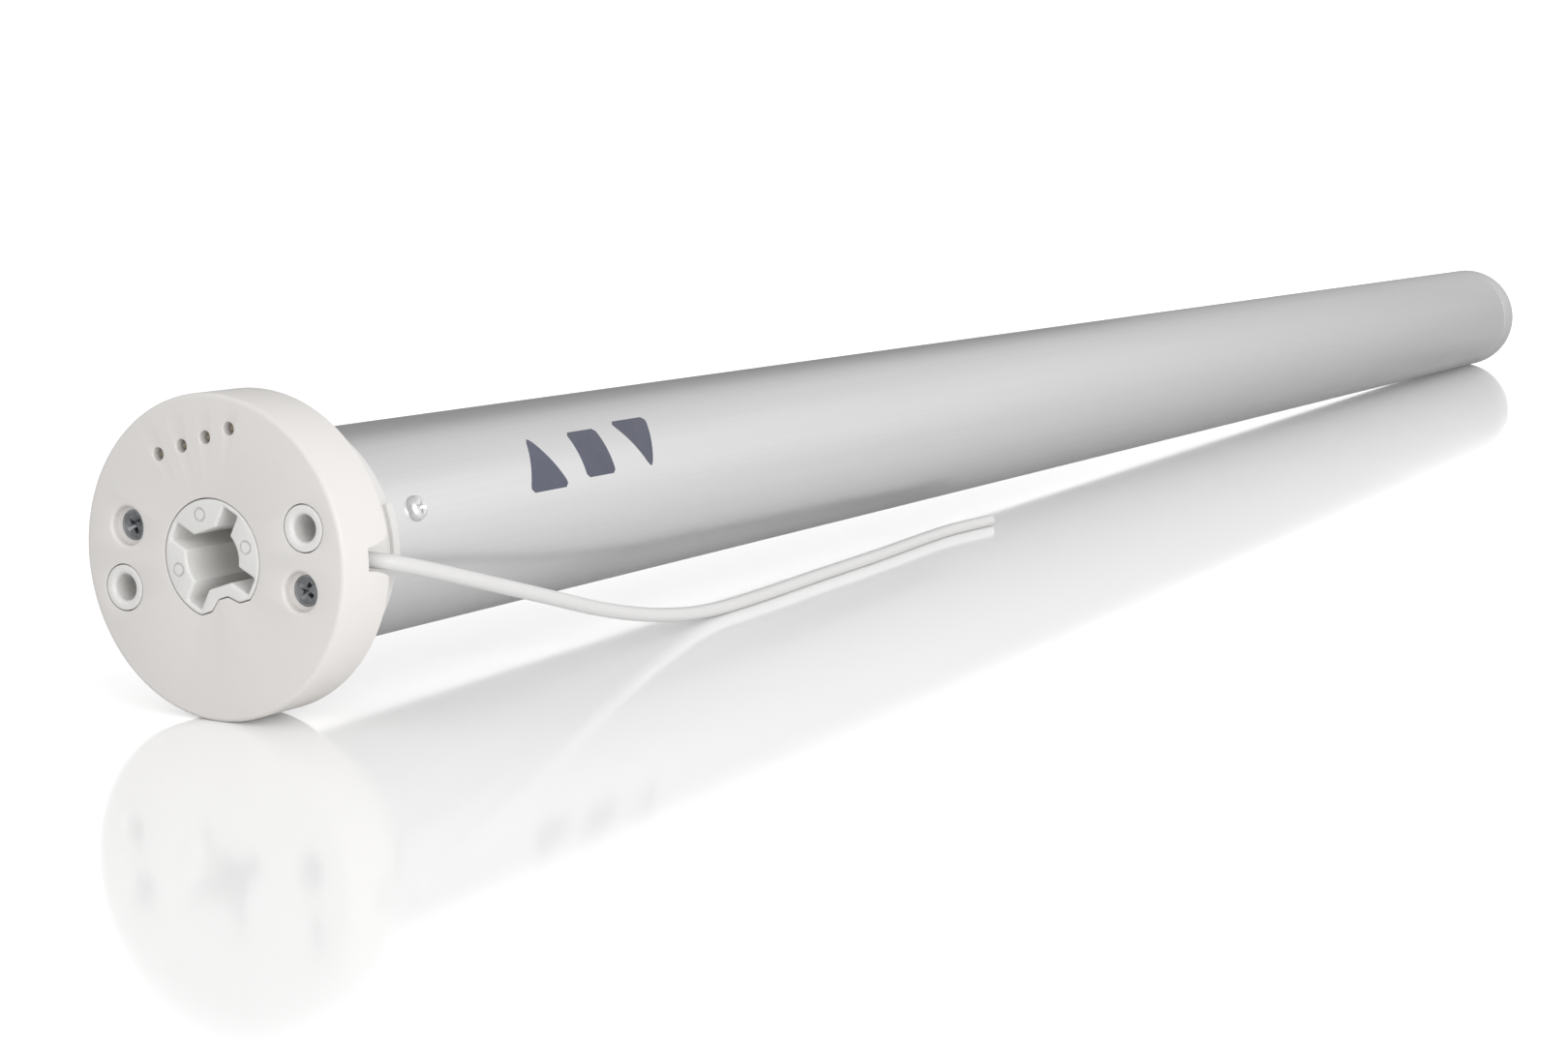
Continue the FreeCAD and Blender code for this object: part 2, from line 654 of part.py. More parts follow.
def bush_holes(prefix, start, length, radius):
    return [rod("%s_%d" % (prefix, sign), start, length, radius, "%d * bush_offset" % sign)
            for sign in (1, -1)]


def contact_place(index):
    return "contact_shift + %s * contact_pitch" % (index - (CONTACTS - 1) / 2)


def moved(name, source, across, up):
    """The same shape, moved sideways without turning."""
    item = doc.addObject("Part::Compound", name)
    item.Links = [source]
    item.Placement = FreeCAD.Placement(V(0, value(across), value(up)), LEVEL)
    for axis, text in (("y", across), ("z", up)):
        bind(item, "Placement.Base." + axis, text)
    return item


def screw_well(name, side):
    """The well of a face screw: bevelled mouth, flat floor, sunk cone and shank hole."""
    tool = turned(name, [("-1", "0"), ("-1", "screw_well + screw_well_bevel + 1"),
                         ("screw_well_bevel", "screw_well"), ("screw_well_depth", "screw_well"),
                         ("screw_well_depth", "screw_head + fit_gap"),
                         ("screw_well_depth + screw_cone", "screw_shank + fit_gap"),
                         ("face_wall + 1", "screw_shank + fit_gap"), ("face_wall + 1", "0")])
    return moved(name + "_placed", tool, "%d * screw_side" % side, "%d * screw_rise" % side)


def head_cover():
    cup = turned("cover_cup", [("0", "0"), ("0", "head_radius"), ("head_depth", "head_radius"),
                               ("head_depth", "cup_radius"), ("face_wall", "cup_radius"),
                               ("face_wall", "0")])
    cup = rounded("cover_rounded", cup, "Fillet", "edge_round",
                  lambda edge: circle_at(edge, 0, value("head_radius")))
    socket = without("cover_socket", rod("cover_socket_round", "-1", "face_wall + 2", "socket_hole"),
                     [key_block("cover_key", "socket_gap", "-2", "face_wall + 4")])
    tools = [socket, screw_well("cover_well_left", 1), screw_well("cover_well_right", -1)]
    tools += bush_holes("cover_bush", "-1", "face_wall + 2", "bush_radius + bush_gap")
    for index in range(CONTACTS):
        tools.append(rod("cover_contact_%d" % index, "-1", "face_wall + 2", "contact_hole",
                         contact_place(index), "contact_rise"))
    tools.append(notch_tool())
    keep("head_cover", without("cover_done", cup, tools))


def notch_tool():
    """The lead's notch in the rim: flares from its front wall to the rim's open rear edge."""
    wedge = doc.addObject("Part::Wedge", "notch_wedge")
    for name, text in (("Xmin", "-notch_narrow / 2"), ("Xmax", "notch_narrow / 2"),
                       ("X2min", "-notch_wide / 2"), ("X2max", "notch_wide / 2"),
                       ("Ymin", "notch_front"), ("Ymax", "head_depth + 0.001"),
                       ("Zmin", "cup_radius - 1"), ("Zmax", "head_radius + 1"),
                       ("Z2min", "cup_radius - 1"), ("Z2max", "head_radius + 1")):
        bind(wedge, name, text)
    # wedge axes to the head's: its Y runs along the motor, its Z outwards at the notch's angle
    along = FreeCAD.Matrix(0, 1, 0, 0, -1, 0, 0, 0, 0, 0, 1, 0, 0, 0, 0, 1)
    upright = FreeCAD.Placement(along)
    turn = FreeCAD.Placement(V(), FreeCAD.Rotation(V(1, 0, 0), value("notch_angle") - 90))
    wedge.Placement = turn.multiply(upright)
    return wedge


def notch_block(name, start, length, side_low, side_high, inner, outer):
    """A block in the lead's channel: sideways along the rim, and outwards from the axis."""
    return block(name, start, length, side_low, side_high, inner, outer, value("notch_angle") - 90)


def head_core():
    turning = turned("core_turning", [
        ("face_wall", "socket_hole"), ("face_wall", "flange_radius"),
        ("flange_rear", "flange_radius"), ("flange_rear", "neck_radius"),
        ("lip_front", "neck_radius"), ("lip_front", "lip_radius"), ("tube_start", "lip_radius"),
        ("tube_start", "plug_radius"), ("groove_front", "plug_radius"),
        ("groove_front", "groove_radius"), ("groove_rear", "groove_radius"),
        ("groove_rear", "plug_radius"), ("plug_end - crown_bevel", "plug_radius"),
        ("plug_end", "plug_radius - crown_bevel"), ("plug_end", "plug_bore"),
        ("socket_length", "plug_bore"), ("socket_length", "socket_hole")])
    tools = bush_holes("core_bush", "face_wall - 1", "bush_length - face_wall + 1",
                       "bush_radius + fit_gap")
    tools += face_holes("core_screw", "face_wall - 1",
                        "screw_well_depth + screw_length - face_wall + 1", "screw_shank")
    reach = "contact_pitch * %s + contact_margin + fit_gap" % ((CONTACTS - 1) / 2)
    tools.append(block("core_contacts", "face_wall - 1", "contact_depth + 1",
                       "contact_shift - (%s)" % reach, "contact_shift + %s" % reach,
                       "contact_rise - contact_half_width - fit_gap",
                       "contact_rise + contact_half_width + fit_gap"))
    side = "lead_radius + lead_room"
    tools.append(notch_block("core_channel", "face_wall - 1",
                             "lead_depth + lead_radius + lead_room - face_wall + 1",
                             "-(%s)" % side, side, "lead_start - 0.1", "flange_radius + 1"))
    tools.append(notch_block("core_outlet", "notch_front", "head_depth - notch_front",
                             "-notch_wide / 2", "notch_wide / 2",
                             "neck_radius + lead_radius", "flange_radius + 1"))
    tools.append(notch_block("core_wires", "notch_front", "plug_end - notch_front + 1",
                             "-(%s)" % side, side, "wire_offset - wire_radius - lead_room",
                             "lead_start"))
    tools.append(notch_block("core_clamp", "face_wall - 1", "clamp_rear - face_wall + 1",
                             "-clamp_far - fit_gap", "clamp_near + fit_gap",
                             "clamp_offset - clamp_width / 2 - fit_gap",
                             "clamp_offset + clamp_width / 2 + fit_gap"))
    tools.append(clamp_screw_body("core_clamp_screw", "clamp_screw_head + fit_gap"))
    for name, angle in (("core_pilot_left", 0), ("core_pilot_right", 180)):
        tools.append(radial_rod(name, angle, "tube_radius - pan_length", "pan_length + 1",
                                "pan_shank"))
    keep("head_core", without("core_done", turning, tools))


def radial_rod(name, angle, inner, length, radius):
    """A cylinder that points outwards from the axis at the tube screws' place."""
    item = doc.addObject("Part::Cylinder", name)
    bind(item, "Radius", radius)
    bind(item, "Height", length)
    lean = math.radians(angle)
    item.Placement = FreeCAD.Placement(V(), FreeCAD.Rotation(V(0, 0, 1), V(0, math.cos(lean),
                                                                        math.sin(lean))))
    bind(item, "Placement.Base.x", "tube_start + tube_screw_at")
    bind(item, "Placement.Base.y", "(%s) * cos(%d)" % (inner, angle))
    bind(item, "Placement.Base.z", "(%s) * sin(%d)" % (inner, angle))
    return item


def clamp_screw_body(name, head_radius):
    """The clamp's screw, drawn on the axis and moved beside the lead."""
    body = turned(name, [("clamp_front - 1", "0"), ("clamp_front - 1", head_radius),
                         ("clamp_front", head_radius), ("clamp_front", "clamp_screw_shank"),
                         ("clamp_front + clamp_screw_length", "clamp_screw_shank"),
                         ("clamp_front + clamp_screw_length", "0")])
    angle = value("notch_angle")
    outwards = V(0, math.cos(math.radians(angle)), math.sin(math.radians(angle)))
    sideways = V(0, math.sin(math.radians(angle)), -math.cos(math.radians(angle)))
    body.Placement = FreeCAD.Placement(outwards * value("clamp_offset")
                                       + sideways * value("clamp_screw_at"), LEVEL)
    return body


def head_small_parts():
    for label, sign in (("guide_bush_left", 1), ("guide_bush_right", -1)):
        bush = ring(label + "_turning", "0", "bush_length", "bush_radius", "bush_hole")
        bush = rounded(label + "_rounded", bush, "Fillet", "bush_round",
                       lambda edge: circle_at(edge, 0, value("bush_hole")))
        keep(label, moved(label, bush, "%d * bush_offset" % sign, "0"))

    screws = []
    for number, sign in enumerate((1, -1), start=1):
        blank = turned("face_screw_%d" % number, [
            ("screw_well_depth", "0"), ("screw_well_depth", "screw_head"),
            ("screw_well_depth + screw_cone", "screw_shank"),
            ("screw_well_depth + screw_length", "screw_shank"),
            ("screw_well_depth + screw_length", "0")])
        slotted = without("face_screw_slotted_%d" % number, blank,
                          cross_recess("face_cross_%d" % number, "screw_well_depth",
                                       "screw_head * 0.6", 30 * number))
        screws.append(moved("face_screw_placed_%d" % number, slotted,
                                  "%d * screw_side" % sign, "%d * screw_rise" % sign))
    keep("face_screws", gathered("face_screws", screws))

    reach = "contact_pitch * %s + contact_margin" % ((CONTACTS - 1) / 2)
    pieces = [block("contact_block", "face_wall", "contact_depth",
                    "contact_shift - (%s)" % reach, "contact_shift + %s" % reach,
                    "contact_rise - contact_half_width", "contact_rise + contact_half_width")]
    for index in range(CONTACTS):
        pieces.append(rod("contact_pin_%d" % index, "contact_sink",
                          "face_wall + contact_depth / 2 - contact_sink", "contact_pin",
                          contact_place(index), "contact_rise"))
    keep("setting_contacts", joined("contacts_done", pieces))

    bar = notch_block("clamp_bar", "clamp_front", "clamp_height", "-clamp_far", "clamp_near",
                      "clamp_offset - clamp_width / 2", "clamp_offset + clamp_width / 2")
    keep("cord_clamp", without("clamp_done", bar,
                               [clamp_screw_body("clamp_hole", "clamp_screw_head")]))
    keep("clamp_screw", clamp_screw_body("clamp_screw", "clamp_screw_head"))

    seal = doc.addObject("Part::Torus", "seal_torus")
    bind(seal, "Radius1", "tube_bore - seal_section")
    bind(seal, "Radius2", "seal_section")
    seal.Placement = FreeCAD.Placement(V(value("(groove_front + groove_rear) / 2"), 0, 0), TURN_X)
    keep("seal_ring", seal)


def cross_recess(prefix, start, reach, angle):
    """Two crossed slots in a screw's head that opens towards -X at start."""
    return [block("%s_%d" % (prefix, turn), "%s - 1" % start, "1 + slot_width * 1.4",
                  "-(%s)" % reach, reach, "-slot_width / 2", "slot_width / 2", angle + turn)
            for turn in (0, 90)]


def crown_ring():
    """The loose ring on the core's neck, with low keys around its rear edge."""
    turning = turned("crown_turning", [
        ("crown_front", "crown_bore"), ("crown_front", "crown_radius - crown_bevel"),
        ("crown_front + crown_bevel", "crown_radius"),
        ("crown_end - crown_bevel", "crown_radius"), ("crown_end", "crown_radius - crown_bevel"),
        ("crown_end", "lip_radius + run_gap"),
        ("lip_front - crown_side_gap", "lip_radius + run_gap"),
        ("lip_front - crown_side_gap", "crown_bore")])
    front = "crown_end - crown_key_length"
    top = "crown_radius + crown_key"
    rim = turned("crown_key_rim", [
        (front, "lip_radius + 2 * run_gap"), (front, top + " - crown_key_bevel"),
        (front + " + crown_key_bevel", top), ("crown_end - crown_key_bevel", top),
        ("crown_end", top + " - crown_key_bevel"), ("crown_end", "lip_radius + 2 * run_gap")])
    pads = []
    for number in range(CROWN_KEYS):
        pads.append(block("crown_pad_%d" % (number + 1), front + " - 1", "crown_key_length + 2",
                          "-crown_key_width / 2", "crown_key_width / 2", "crown_bore",
                          top + " + 1", value("crown_key_angle") + 360 / CROWN_KEYS * number - 90))
    keys = shared("crown_keys", rim, joined("crown_pads", pads))
    keep("crown_ring", joined("crown_done", [turning, keys]))


def tube_screws():
    screws = []
    for number, angle in enumerate((0, 180), start=1):
        head = "tube_radius + pan_height"
        blank = turned("tube_screw_%d" % number, [
            ("0", "0"), ("0", "pan_radius * 0.6"), ("pan_height * 0.35", "pan_radius * 0.93"),
            ("pan_height", "pan_radius"), ("pan_height", "pan_shank"),
            ("pan_height + pan_length", "pan_shank"), ("pan_height + pan_length", "0")])
        slotted = without("tube_screw_slotted_%d" % number, blank,
                          cross_recess("tube_cross_%d" % number, "0", "pan_radius * 0.55", 20))
        lean = math.radians(angle)
        inwards = V(0, -math.cos(lean), -math.sin(lean))
        item = doc.addObject("Part::Compound", "tube_screw_placed_%d" % number)
        item.Links = [slotted]
        item.Placement = FreeCAD.Placement(V(), FreeCAD.Rotation(V(1, 0, 0), inwards))
        bind(item, "Placement.Base.x", "tube_start + tube_screw_at")
        bind(item, "Placement.Base.y", "(%s) * cos(%d)" % (head, angle))
        screws.append(item)
    keep("tube_screws", gathered("tube_screws", screws))


def motor_tube():
    pipe = ring("tube_pipe", "tube_start", "tube_end", "tube_radius", "tube_bore")
    holes = [radial_rod("tube_hole_%d" % angle, angle, "tube_bore - 2", "tube_wall + 4",
                        "pan_shank") for angle in (0, 180)]
    keep("motor_tube", without("tube_done", pipe, holes))


# ---------------------------------------------------------------- lead
# The lead's route in the motor's own place: x, y, and the height of its middle above the table.
# It leaves the head through the notch, sags, and lies on the table beside the tube.
LEAD_ROUTE = [
    (17.5, -31.3, 26.1), (33.0, -32.2, 21.6), (55.5, -31.6, 15.3), (80.0, -29.6, 8.3),
    (104.0, -27.3, 3.2), (128.0, -24.6, 0.0), (151.0, -24.5, 0.0), (180.0, -22.6, 0.0),
    (211.0, -21.6, 0.0), (240.0, -19.4, 0.0), (262.0, -18.4, 0.0), (278.0, -20.7, 0.0),
]
# the table touches the head's rim at x = 0 and the tube where the dome begins to round
TABLE_AT_HEAD = -29.0
TABLE_RISE = 9.0 / 799.5
NOTCH_LEAVES = 28.2


def supply_cord():
    radius = value("lead_radius")
    angle = math.radians(value("notch_angle + lying_roll"))
    outwards = V(0, math.cos(angle), math.sin(angle))
    inside = V(value("lead_depth"), 0, 0)
    points = [inside + outwards * value("lead_start"), inside + outwards * NOTCH_LEAVES]
    for x, y, height in LEAD_ROUTE:
        points.append(V(x, y, TABLE_AT_HEAD + TABLE_RISE * x + radius + height))
    solid, radii = tube_along(points, radius)
    print("supply_cord arc radii:", " ".join("%.1f" % r for r in radii))
    cord = solid_feature("supply_cord", solid)
    cord.Label = "supply_cord"
    PARTS.append(cord)


def lead_wires():
    """Two insulated wires from the lead's inner end to the terminal block."""
    angle = math.radians(value("notch_angle"))
    outwards = V(0, math.cos(angle), math.sin(angle))
    sideways = V(0, math.sin(angle), -math.cos(angle))
    radius = value("wire_radius")
    wires = []
    for sign in (-1, 1):
        aside = sideways * (sign * value("wire_spread"))
        start = V(value("lead_depth"), 0, 0) + aside
        points = [start + outwards * value("lead_start"), start + outwards * value("wire_offset"),
                  V(value("board_start"), 0, 0) + aside + outwards * value("wire_offset")]
        wires.append(tube_along(points, radius)[0])
    keep("lead_wires", solid_feature("lead_wires", Part.makeCompound(wires)))


# ---------------------------------------------------------------- electronics and battery
def electronics():
    shell = ring("tray_shell", "tray_start", "tray_end", "plug_radius", "tray_bore")
    opening = block("tray_opening", "tray_start - 1", "tray_length + 2", "-tube_radius",
                    "tube_radius", "tray_top", "tube_radius")
    outer = rod("tray_outer", "tray_start", "tray_length", "plug_radius")
    ledges = []
    for number, sign in enumerate((-1, 1), start=1):
        near = "%d * (board_half - ledge_width + 1)" % sign
        far = "%d * tube_radius" % sign
        left, right = (near, far) if sign > 0 else (far, near)
        ledges.append(block("tray_ledge_%d" % number, "tray_start", "tray_length", left, right,
                            "board_level - ledge_height", "board_level"))
    inner = shared("tray_ledges", joined("tray_ledge_pair", ledges), outer)
    keep("board_tray", joined("tray_done", [without("tray_half", shell, [opening]), inner]))
    keep("control_board", block("control_board", "board_start", "board_length", "-board_half",
                                "board_half", "board_level", "board_top"))
    keep("terminal_block", block("terminal_block", "board_start", "terminal_length",
                                 "-board_half + 0.8", "-board_half + 11", "board_top",
                                 "board_top + terminal_height"))
    keep("filter_capacitor", rod("filter_capacitor", "board_start + terminal_length + 6",
                                 "capacitor_length", "capacitor_radius", "0",
                                 "board_top + capacitor_radius"))
    keep("radio_module", block("radio_module",
                               "board_start + terminal_length + capacitor_length + 14",
                               "radio_length", "-radio_half", "radio_half", "board_top",
                               "board_top + radio_height"))


def battery():
    cell_hole = "cell_radius + cell_room"
    sleeve = "cell_radius + cell_room + sleeve_wall"
    outline = [("cells_start", cell_hole), ("cells_start", "cell_button_radius"),
               ("carrier_start", "cell_button_radius"), ("carrier_start", "plug_radius"),
               ("carrier_start + rib_length", "plug_radius"),
               ("carrier_start + rib_length", sleeve)]
    for number in range(1, CELLS):
        joint = "cells_start + %d * cell_length" % number
        outline += [(joint + " - rib_length / 2", sleeve),
                    (joint + " - rib_length / 2", "plug_radius"),
                    (joint + " + rib_length / 2", "plug_radius"),
                    (joint + " + rib_length / 2", sleeve)]
    outline += [("carrier_finish - rib_length", sleeve),
                ("carrier_finish - rib_length", "plug_radius"),
                ("carrier_finish", "plug_radius"), ("carrier_finish", cell_hole)]
    keep("battery_carrier", turned("battery_carrier", outline))
    for number in range(CELLS):
        start = "cells_start + %d * cell_length" % number
        shoulder = start + " + cell_length - cell_button"
        label = "battery_cell_%d" % (number + 1)
        keep(label, turned(label, [(start, "0"), (start, "cell_radius"),
                                   (shoulder, "cell_radius"), (shoulder, "cell_button_radius"),
                                   (start + " + cell_length", "cell_button_radius"),
                                   (start + " + cell_length", "0")]))


# ---------------------------------------------------------------- electric motor
def electric_motor():
    seat = "can_start - bearing_width - 0.5"
    keep("motor_end_cap", turned("motor_end_cap", [
        ("motor_start", "0"), ("motor_start", "motor_radius"), ("can_start", "motor_radius"),
        ("can_start", "bearing_radius"), ("motor_start + motor_cap_wall", "bearing_radius"),
        ("motor_start + motor_cap_wall", "0")]))
    keep("motor_can", turned("motor_can", [
        ("can_start", "can_bore"), ("can_start", "motor_radius"), ("can_end", "motor_radius"),
        ("can_end", "bearing_radius"), ("can_end - motor_end_wall", "bearing_radius"),
        ("can_end - motor_end_wall", "can_bore")]))
    hole = "shaft_radius + bearing_gap"
    keep("front_bearing", ring("front_bearing", seat, seat + " + bearing_width",
                               "bearing_radius", hole))
    keep("rear_bearing", ring("rear_bearing", "can_end - bearing_width", "can_end",
                              "bearing_radius", hole))
    for label, sign in (("magnet_upper", 1), ("magnet_lower", -1)):
        whole = ring(label + "_ring", "can_start + magnet_at",
                     "can_start + magnet_at + magnet_length", "can_bore", "magnet_bore")
        low, high = ("-can_bore", "magnet_split") if sign > 0 else ("-magnet_split", "can_bore")
        away = block(label + "_away", "can_start", "motor_length", "-motor_radius",
                     "motor_radius", low, high)
        keep(label, without(label + "_done", whole, [away]))
    keep("armature", armature_core())
    heads = [ring("winding_front", "core_start - winding_length", "core_start",
                  "core_radius - winding_inset", "shaft_radius"),
             ring("winding_rear", "core_end", "core_end + winding_length",
                  "core_radius - winding_inset", "shaft_radius")]
    keep("winding", gathered("winding", heads))
    keep("commutator", ring("commutator", "can_start + 0.5", "can_start + 0.5 + commutator_length",
                            "commutator_radius", "shaft_radius"))
    keep("motor_shaft", rod("motor_shaft", seat, "planets_1 + face_1 - (%s)" % seat,
                            "shaft_radius"))
    for label, sign in (("brush_left", 1), ("brush_right", -1)):
        near = "%d * (commutator_radius + brush_gap)" % sign
        far = "%d * (commutator_radius + brush_gap + brush_length)" % sign
        left, right = (near, far) if sign > 0 else (far, near)
        keep(label, block(label, "can_start", "brush_depth", left, right, "-brush_half",
                          "brush_half"))
    bore = "motor_radius"
    sleeves = [ring("damper_front", "motor_start + damper_at",
                    "motor_start + damper_at + damper_length", "plug_radius", bore),
               ring("damper_rear", "can_end - damper_at - damper_length", "can_end - damper_at",
                    "plug_radius", bore)]
    keep("motor_dampers", gathered("motor_dampers", sleeves))


def armature_core():
    """Laminated core: a disc stack with slots cut by a pattern."""
    body = ring("armature_core", "core_start", "core_end", "core_radius", "shaft_radius")
    doc.recompute()
    sketch = body.newObject("Sketcher::SketchObject", "armature_slot")
    sketch.AttachmentSupport = (origin_plane(body, "YZ_Plane"), [""])
    sketch.MapMode = "FlatFace"
    corners = [("-core_slot / 2", "core_slot_floor"), ("core_slot / 2", "core_slot_floor"),
               ("core_slot / 2", "core_radius + 1"), ("-core_slot / 2", "core_radius + 1")]
    points = [V(value(across), value(up), 0) for across, up in corners]
    for index in range(4):
        sketch.addGeometry(Part.LineSegment(points[index], points[(index + 1) % 4]), False)
    for index in range(4):
        sketch.addConstraint(Sketcher.Constraint("Coincident", index, 2, (index + 1) % 4, 1))
        for kind, text, number in (("DistanceX", corners[index][0], points[index].x),
                                   ("DistanceY", corners[index][1], points[index].y)):
            held = sketch.addConstraint(Sketcher.Constraint(kind, -1, 1, index, 1, number))
            bind(sketch, "Constraints[%d]" % held, text)
    slot = body.newObject("PartDesign::Pocket", "armature_pocket")
    slot.Profile = sketch
    slot.Type = "ThroughAll"
    slot.Midplane = True
    pattern = body.newObject("PartDesign::PolarPattern", "armature_slots")
    pattern.Originals = [slot]
    pattern.Axis = (sketch, ["N_Axis"])
    pattern.Angle = 360
    pattern.Occurrences = 8
    body.Tip = pattern
    return body


# ---------------------------------------------------------------- brake and gears
def brake():
    keep("brake_drum", ring("brake_drum", "drum_start", "drum_end", "plug_radius",
                            "band_radius + drum_gap"))
    hub_start = "drum_start + hub_inset"
    hub_end = "drum_end - hub_inset"
    keep("brake_hub", ring("brake_hub", hub_start, hub_end, "hub_radius", "shaft_radius"))
    band = ring("band_ring", hub_start + " + band_inset", hub_end + " - band_inset",
                "band_radius", "hub_radius")
    split = block("band_split", "drum_start", "brake_length", "-band_split / 2",
                  "band_split / 2", "0", "band_radius + 1")
    keep("brake_band", without("brake_band", band, [split]))


def planetary_gears():
    module = value("gear_module")
    planet_teeth = int(value("planet_teeth"))
    sun_teeth = int(value("sun_teeth"))
    ring_teeth = sun_teeth + 2 * planet_teeth
    pitch_radius = value("ring_pitch")
    space = gear_outline(ring_teeth, pitch_radius + value("dedendum") * module,
                         pitch_radius - value("ring_addendum") * module,
                         math.pi * module / 4 + value("tooth_thinning"))
    length = value("ring_end - ring_start")
    blank = cylinder(value("ring_start"), length, value("plug_radius"))
    teeth_space = Part.Face(space).extrude(V(length + 2, 0, 0))
    teeth_space.translate(V(value("ring_start") - 1, 0, 0))
    keep("ring_gear", solid_feature("ring_gear", blank.cut(teeth_space)))

    start = value("planets_1")
    pinion = gear_solid(sun_teeth, start, value("face_1"))
    pinion = pinion.cut(cylinder(start - 1, value("face_1") + 2, value("shaft_radius")))
    keep("sun_pinion", solid_feature("sun_pinion", pinion))

    for stage in range(1, STAGES + 1):
        start = value("planets_%d" % stage)
        face = value("face_%d" % stage)
        planet_set(stage, start, face, planet_teeth)
        carrier = carrier_plate(stage, start, face)
        if stage < STAGES:
            plate_end = value("plate_%d + plate_thick" % stage)
            next_end = value("planets_%d + face_%d" % (stage + 1, stage + 1))
            carrier = carrier.fuse(gear_solid(sun_teeth, plate_end, next_end - plate_end))
        else:
            hub = cylinder(value("plate_3 + plate_thick"), value("hub_length"),
                           value("carrier_hub_radius"))
            carrier = carrier.fuse(hub).cut(hexagon(value("plate_3 + face_gap"),
                                                    value("hub_end") + 1))
        keep("carrier_%d" % stage, solid_feature("carrier_%d" % stage, carrier.removeSplitter()))


def planet_set(stage, start, face, teeth):
    """Three planets of one stage, each a copy turned about the motor's axis."""
    offset = value("axle_offset")
    planet = gear_solid(teeth, start, face)
    planet = planet.cut(cylinder(start - 1, face + 2, value("pin_radius + fit_gap")))
    planet.translate(V(0, offset, 0))
    for index, letter in enumerate(PLANETS):
        label = "planet_%d%s" % (stage, letter)
        keep(label, solid_feature(label, planet.copy()), angle=360.0 * index / len(PLANETS))


def carrier_plate(stage, start, face):
    """A plate behind the planets with the pins that they turn on."""
    plate_start = value("plate_%d" % stage)
    plate = cylinder(plate_start, value("plate_thick"), value("plate_radius"))
    offset = value("axle_offset")
    for index in range(len(PLANETS)):
        angle = 2 * math.pi * index / len(PLANETS)
        pin = cylinder(start, plate_start - start + 1, value("pin_radius"),
                       offset * math.cos(angle), offset * math.sin(angle))
        plate = plate.fuse(pin)
    return plate


def hexagon(start, end):
    corner = value("hex_flat") / math.cos(math.pi / 6)
    corners = [V(start, corner * math.cos(math.pi * k / 3), corner * math.sin(math.pi * k / 3))
               for k in range(7)]
    return Part.Face(Part.makePolygon(corners)).extrude(V(end - start, 0, 0))


# ---------------------------------------------------------------- output end
def output_shaft():
    """Round shaft with a hexagon inside, a collar and two flats outside, and its ring's groove."""
    hex_start = value("plate_3 + face_gap")
    round_start = value("hub_end")
    end = value("spindle_end")
    bevel = value("spindle_bevel")
    radius = value("stem_radius")
    shaft = hexagon(hex_start, round_start)
    shaft = shaft.fuse(cylinder(round_start, end - bevel - round_start, radius))
    shaft = shaft.fuse(cylinder(value("dome_end + collar_gap"), value("collar_length"),
                                value("collar_radius")))
    shaft = shaft.fuse(Part.makeCone(radius, radius - bevel, bevel, V(end - bevel, 0, 0),
                                     V(1, 0, 0)))
    flat_start = end - value("spindle_flat_length")
    half = value("spindle_flat")
    for sign in (-1, 1):
        low = half if sign > 0 else -2 * radius
        high = 2 * radius if sign > 0 else -half
        cutter = Part.makeBox(end - flat_start + 1, 4 * radius, high - low,
                              V(flat_start, -2 * radius, low))
        shaft = shaft.cut(cutter)
    width = value("clip_width")
    groove = cylinder(value("clip_front"), width, 2 * radius)
    groove = groove.cut(cylinder(value("clip_front"), width, value("clip_bore")))
    keep("output_shaft", solid_feature("output_shaft", shaft.cut(groove)))


def output_end():
    dome = turned("dome_turning", [
        ("spigot_start", "stem_radius + fit_gap"), ("spigot_start", "guide_radius"),
        ("tube_end - dome_web", "guide_radius"),
        ("tube_end - dome_web", "plug_radius - dome_wall"),
        ("spigot_start", "plug_radius - dome_wall"), ("spigot_start", "plug_radius"),
        ("tube_end", "plug_radius"), ("tube_end", "tube_radius"),
        ("dome_end", "tube_radius"), ("dome_end", "seat_radius"), ("seat_front", "seat_radius"),
        ("seat_front", "spigot_bore"), ("spigot_start + guide_length", "spigot_bore"),
        ("spigot_start + guide_length", "stem_radius + fit_gap")])
    keep("end_dome", rounded("dome_rounded", dome, "Fillet", "dome_rounding",
                             lambda edge: circle_at(edge, value("dome_end"),
                                                    value("tube_radius"))))
    keep("output_bearing", ring("output_bearing", "seat_front", "seat_rear", "seat_radius",
                                "stem_radius + bearing_gap"))
    clip = ring("clip_ring", "clip_front", "clip_rear", "clip_bore + clip_wall", "clip_bore")
    split = block("clip_split", "clip_front - 1", "clip_width + 2", "-clip_split / 2",
                  "clip_split / 2", "0", "clip_bore + clip_wall + 1")
    keep("retaining_ring", without("retaining_ring", clip, [split]))


# ---------------------------------------------------------------- build and write
def build():
    star_socket()
    head_cover()
    head_core()
    head_small_parts()
    crown_ring()
    tube_screws()
    motor_tube()
    supply_cord()
    lead_wires()
    electronics()
    battery()
    electric_motor()
    brake()
    planetary_gears()
    output_end()
    output_shaft()


def check():
    """Stop before writing if any object failed or any sub-part is empty or not valid."""
    for item in doc.Objects:
        if "Invalid" in item.State or "Error" in item.State:
            raise RuntimeError("%s failed to build" % item.Name)
    for item in PARTS:
        shape = item.Shape
        if shape.isNull() or not shape.isValid() or not shape.Solids or shape.Volume <= 0:
            raise RuntimeError("%s has no valid shape" % item.Label)


build()
doc.recompute()
check()
os.makedirs("parts", exist_ok=True)
for item in PARTS:
    item.Shape.exportStep("parts/%s.step" % item.Label)
print("%d sub-parts written" % len(PARTS))
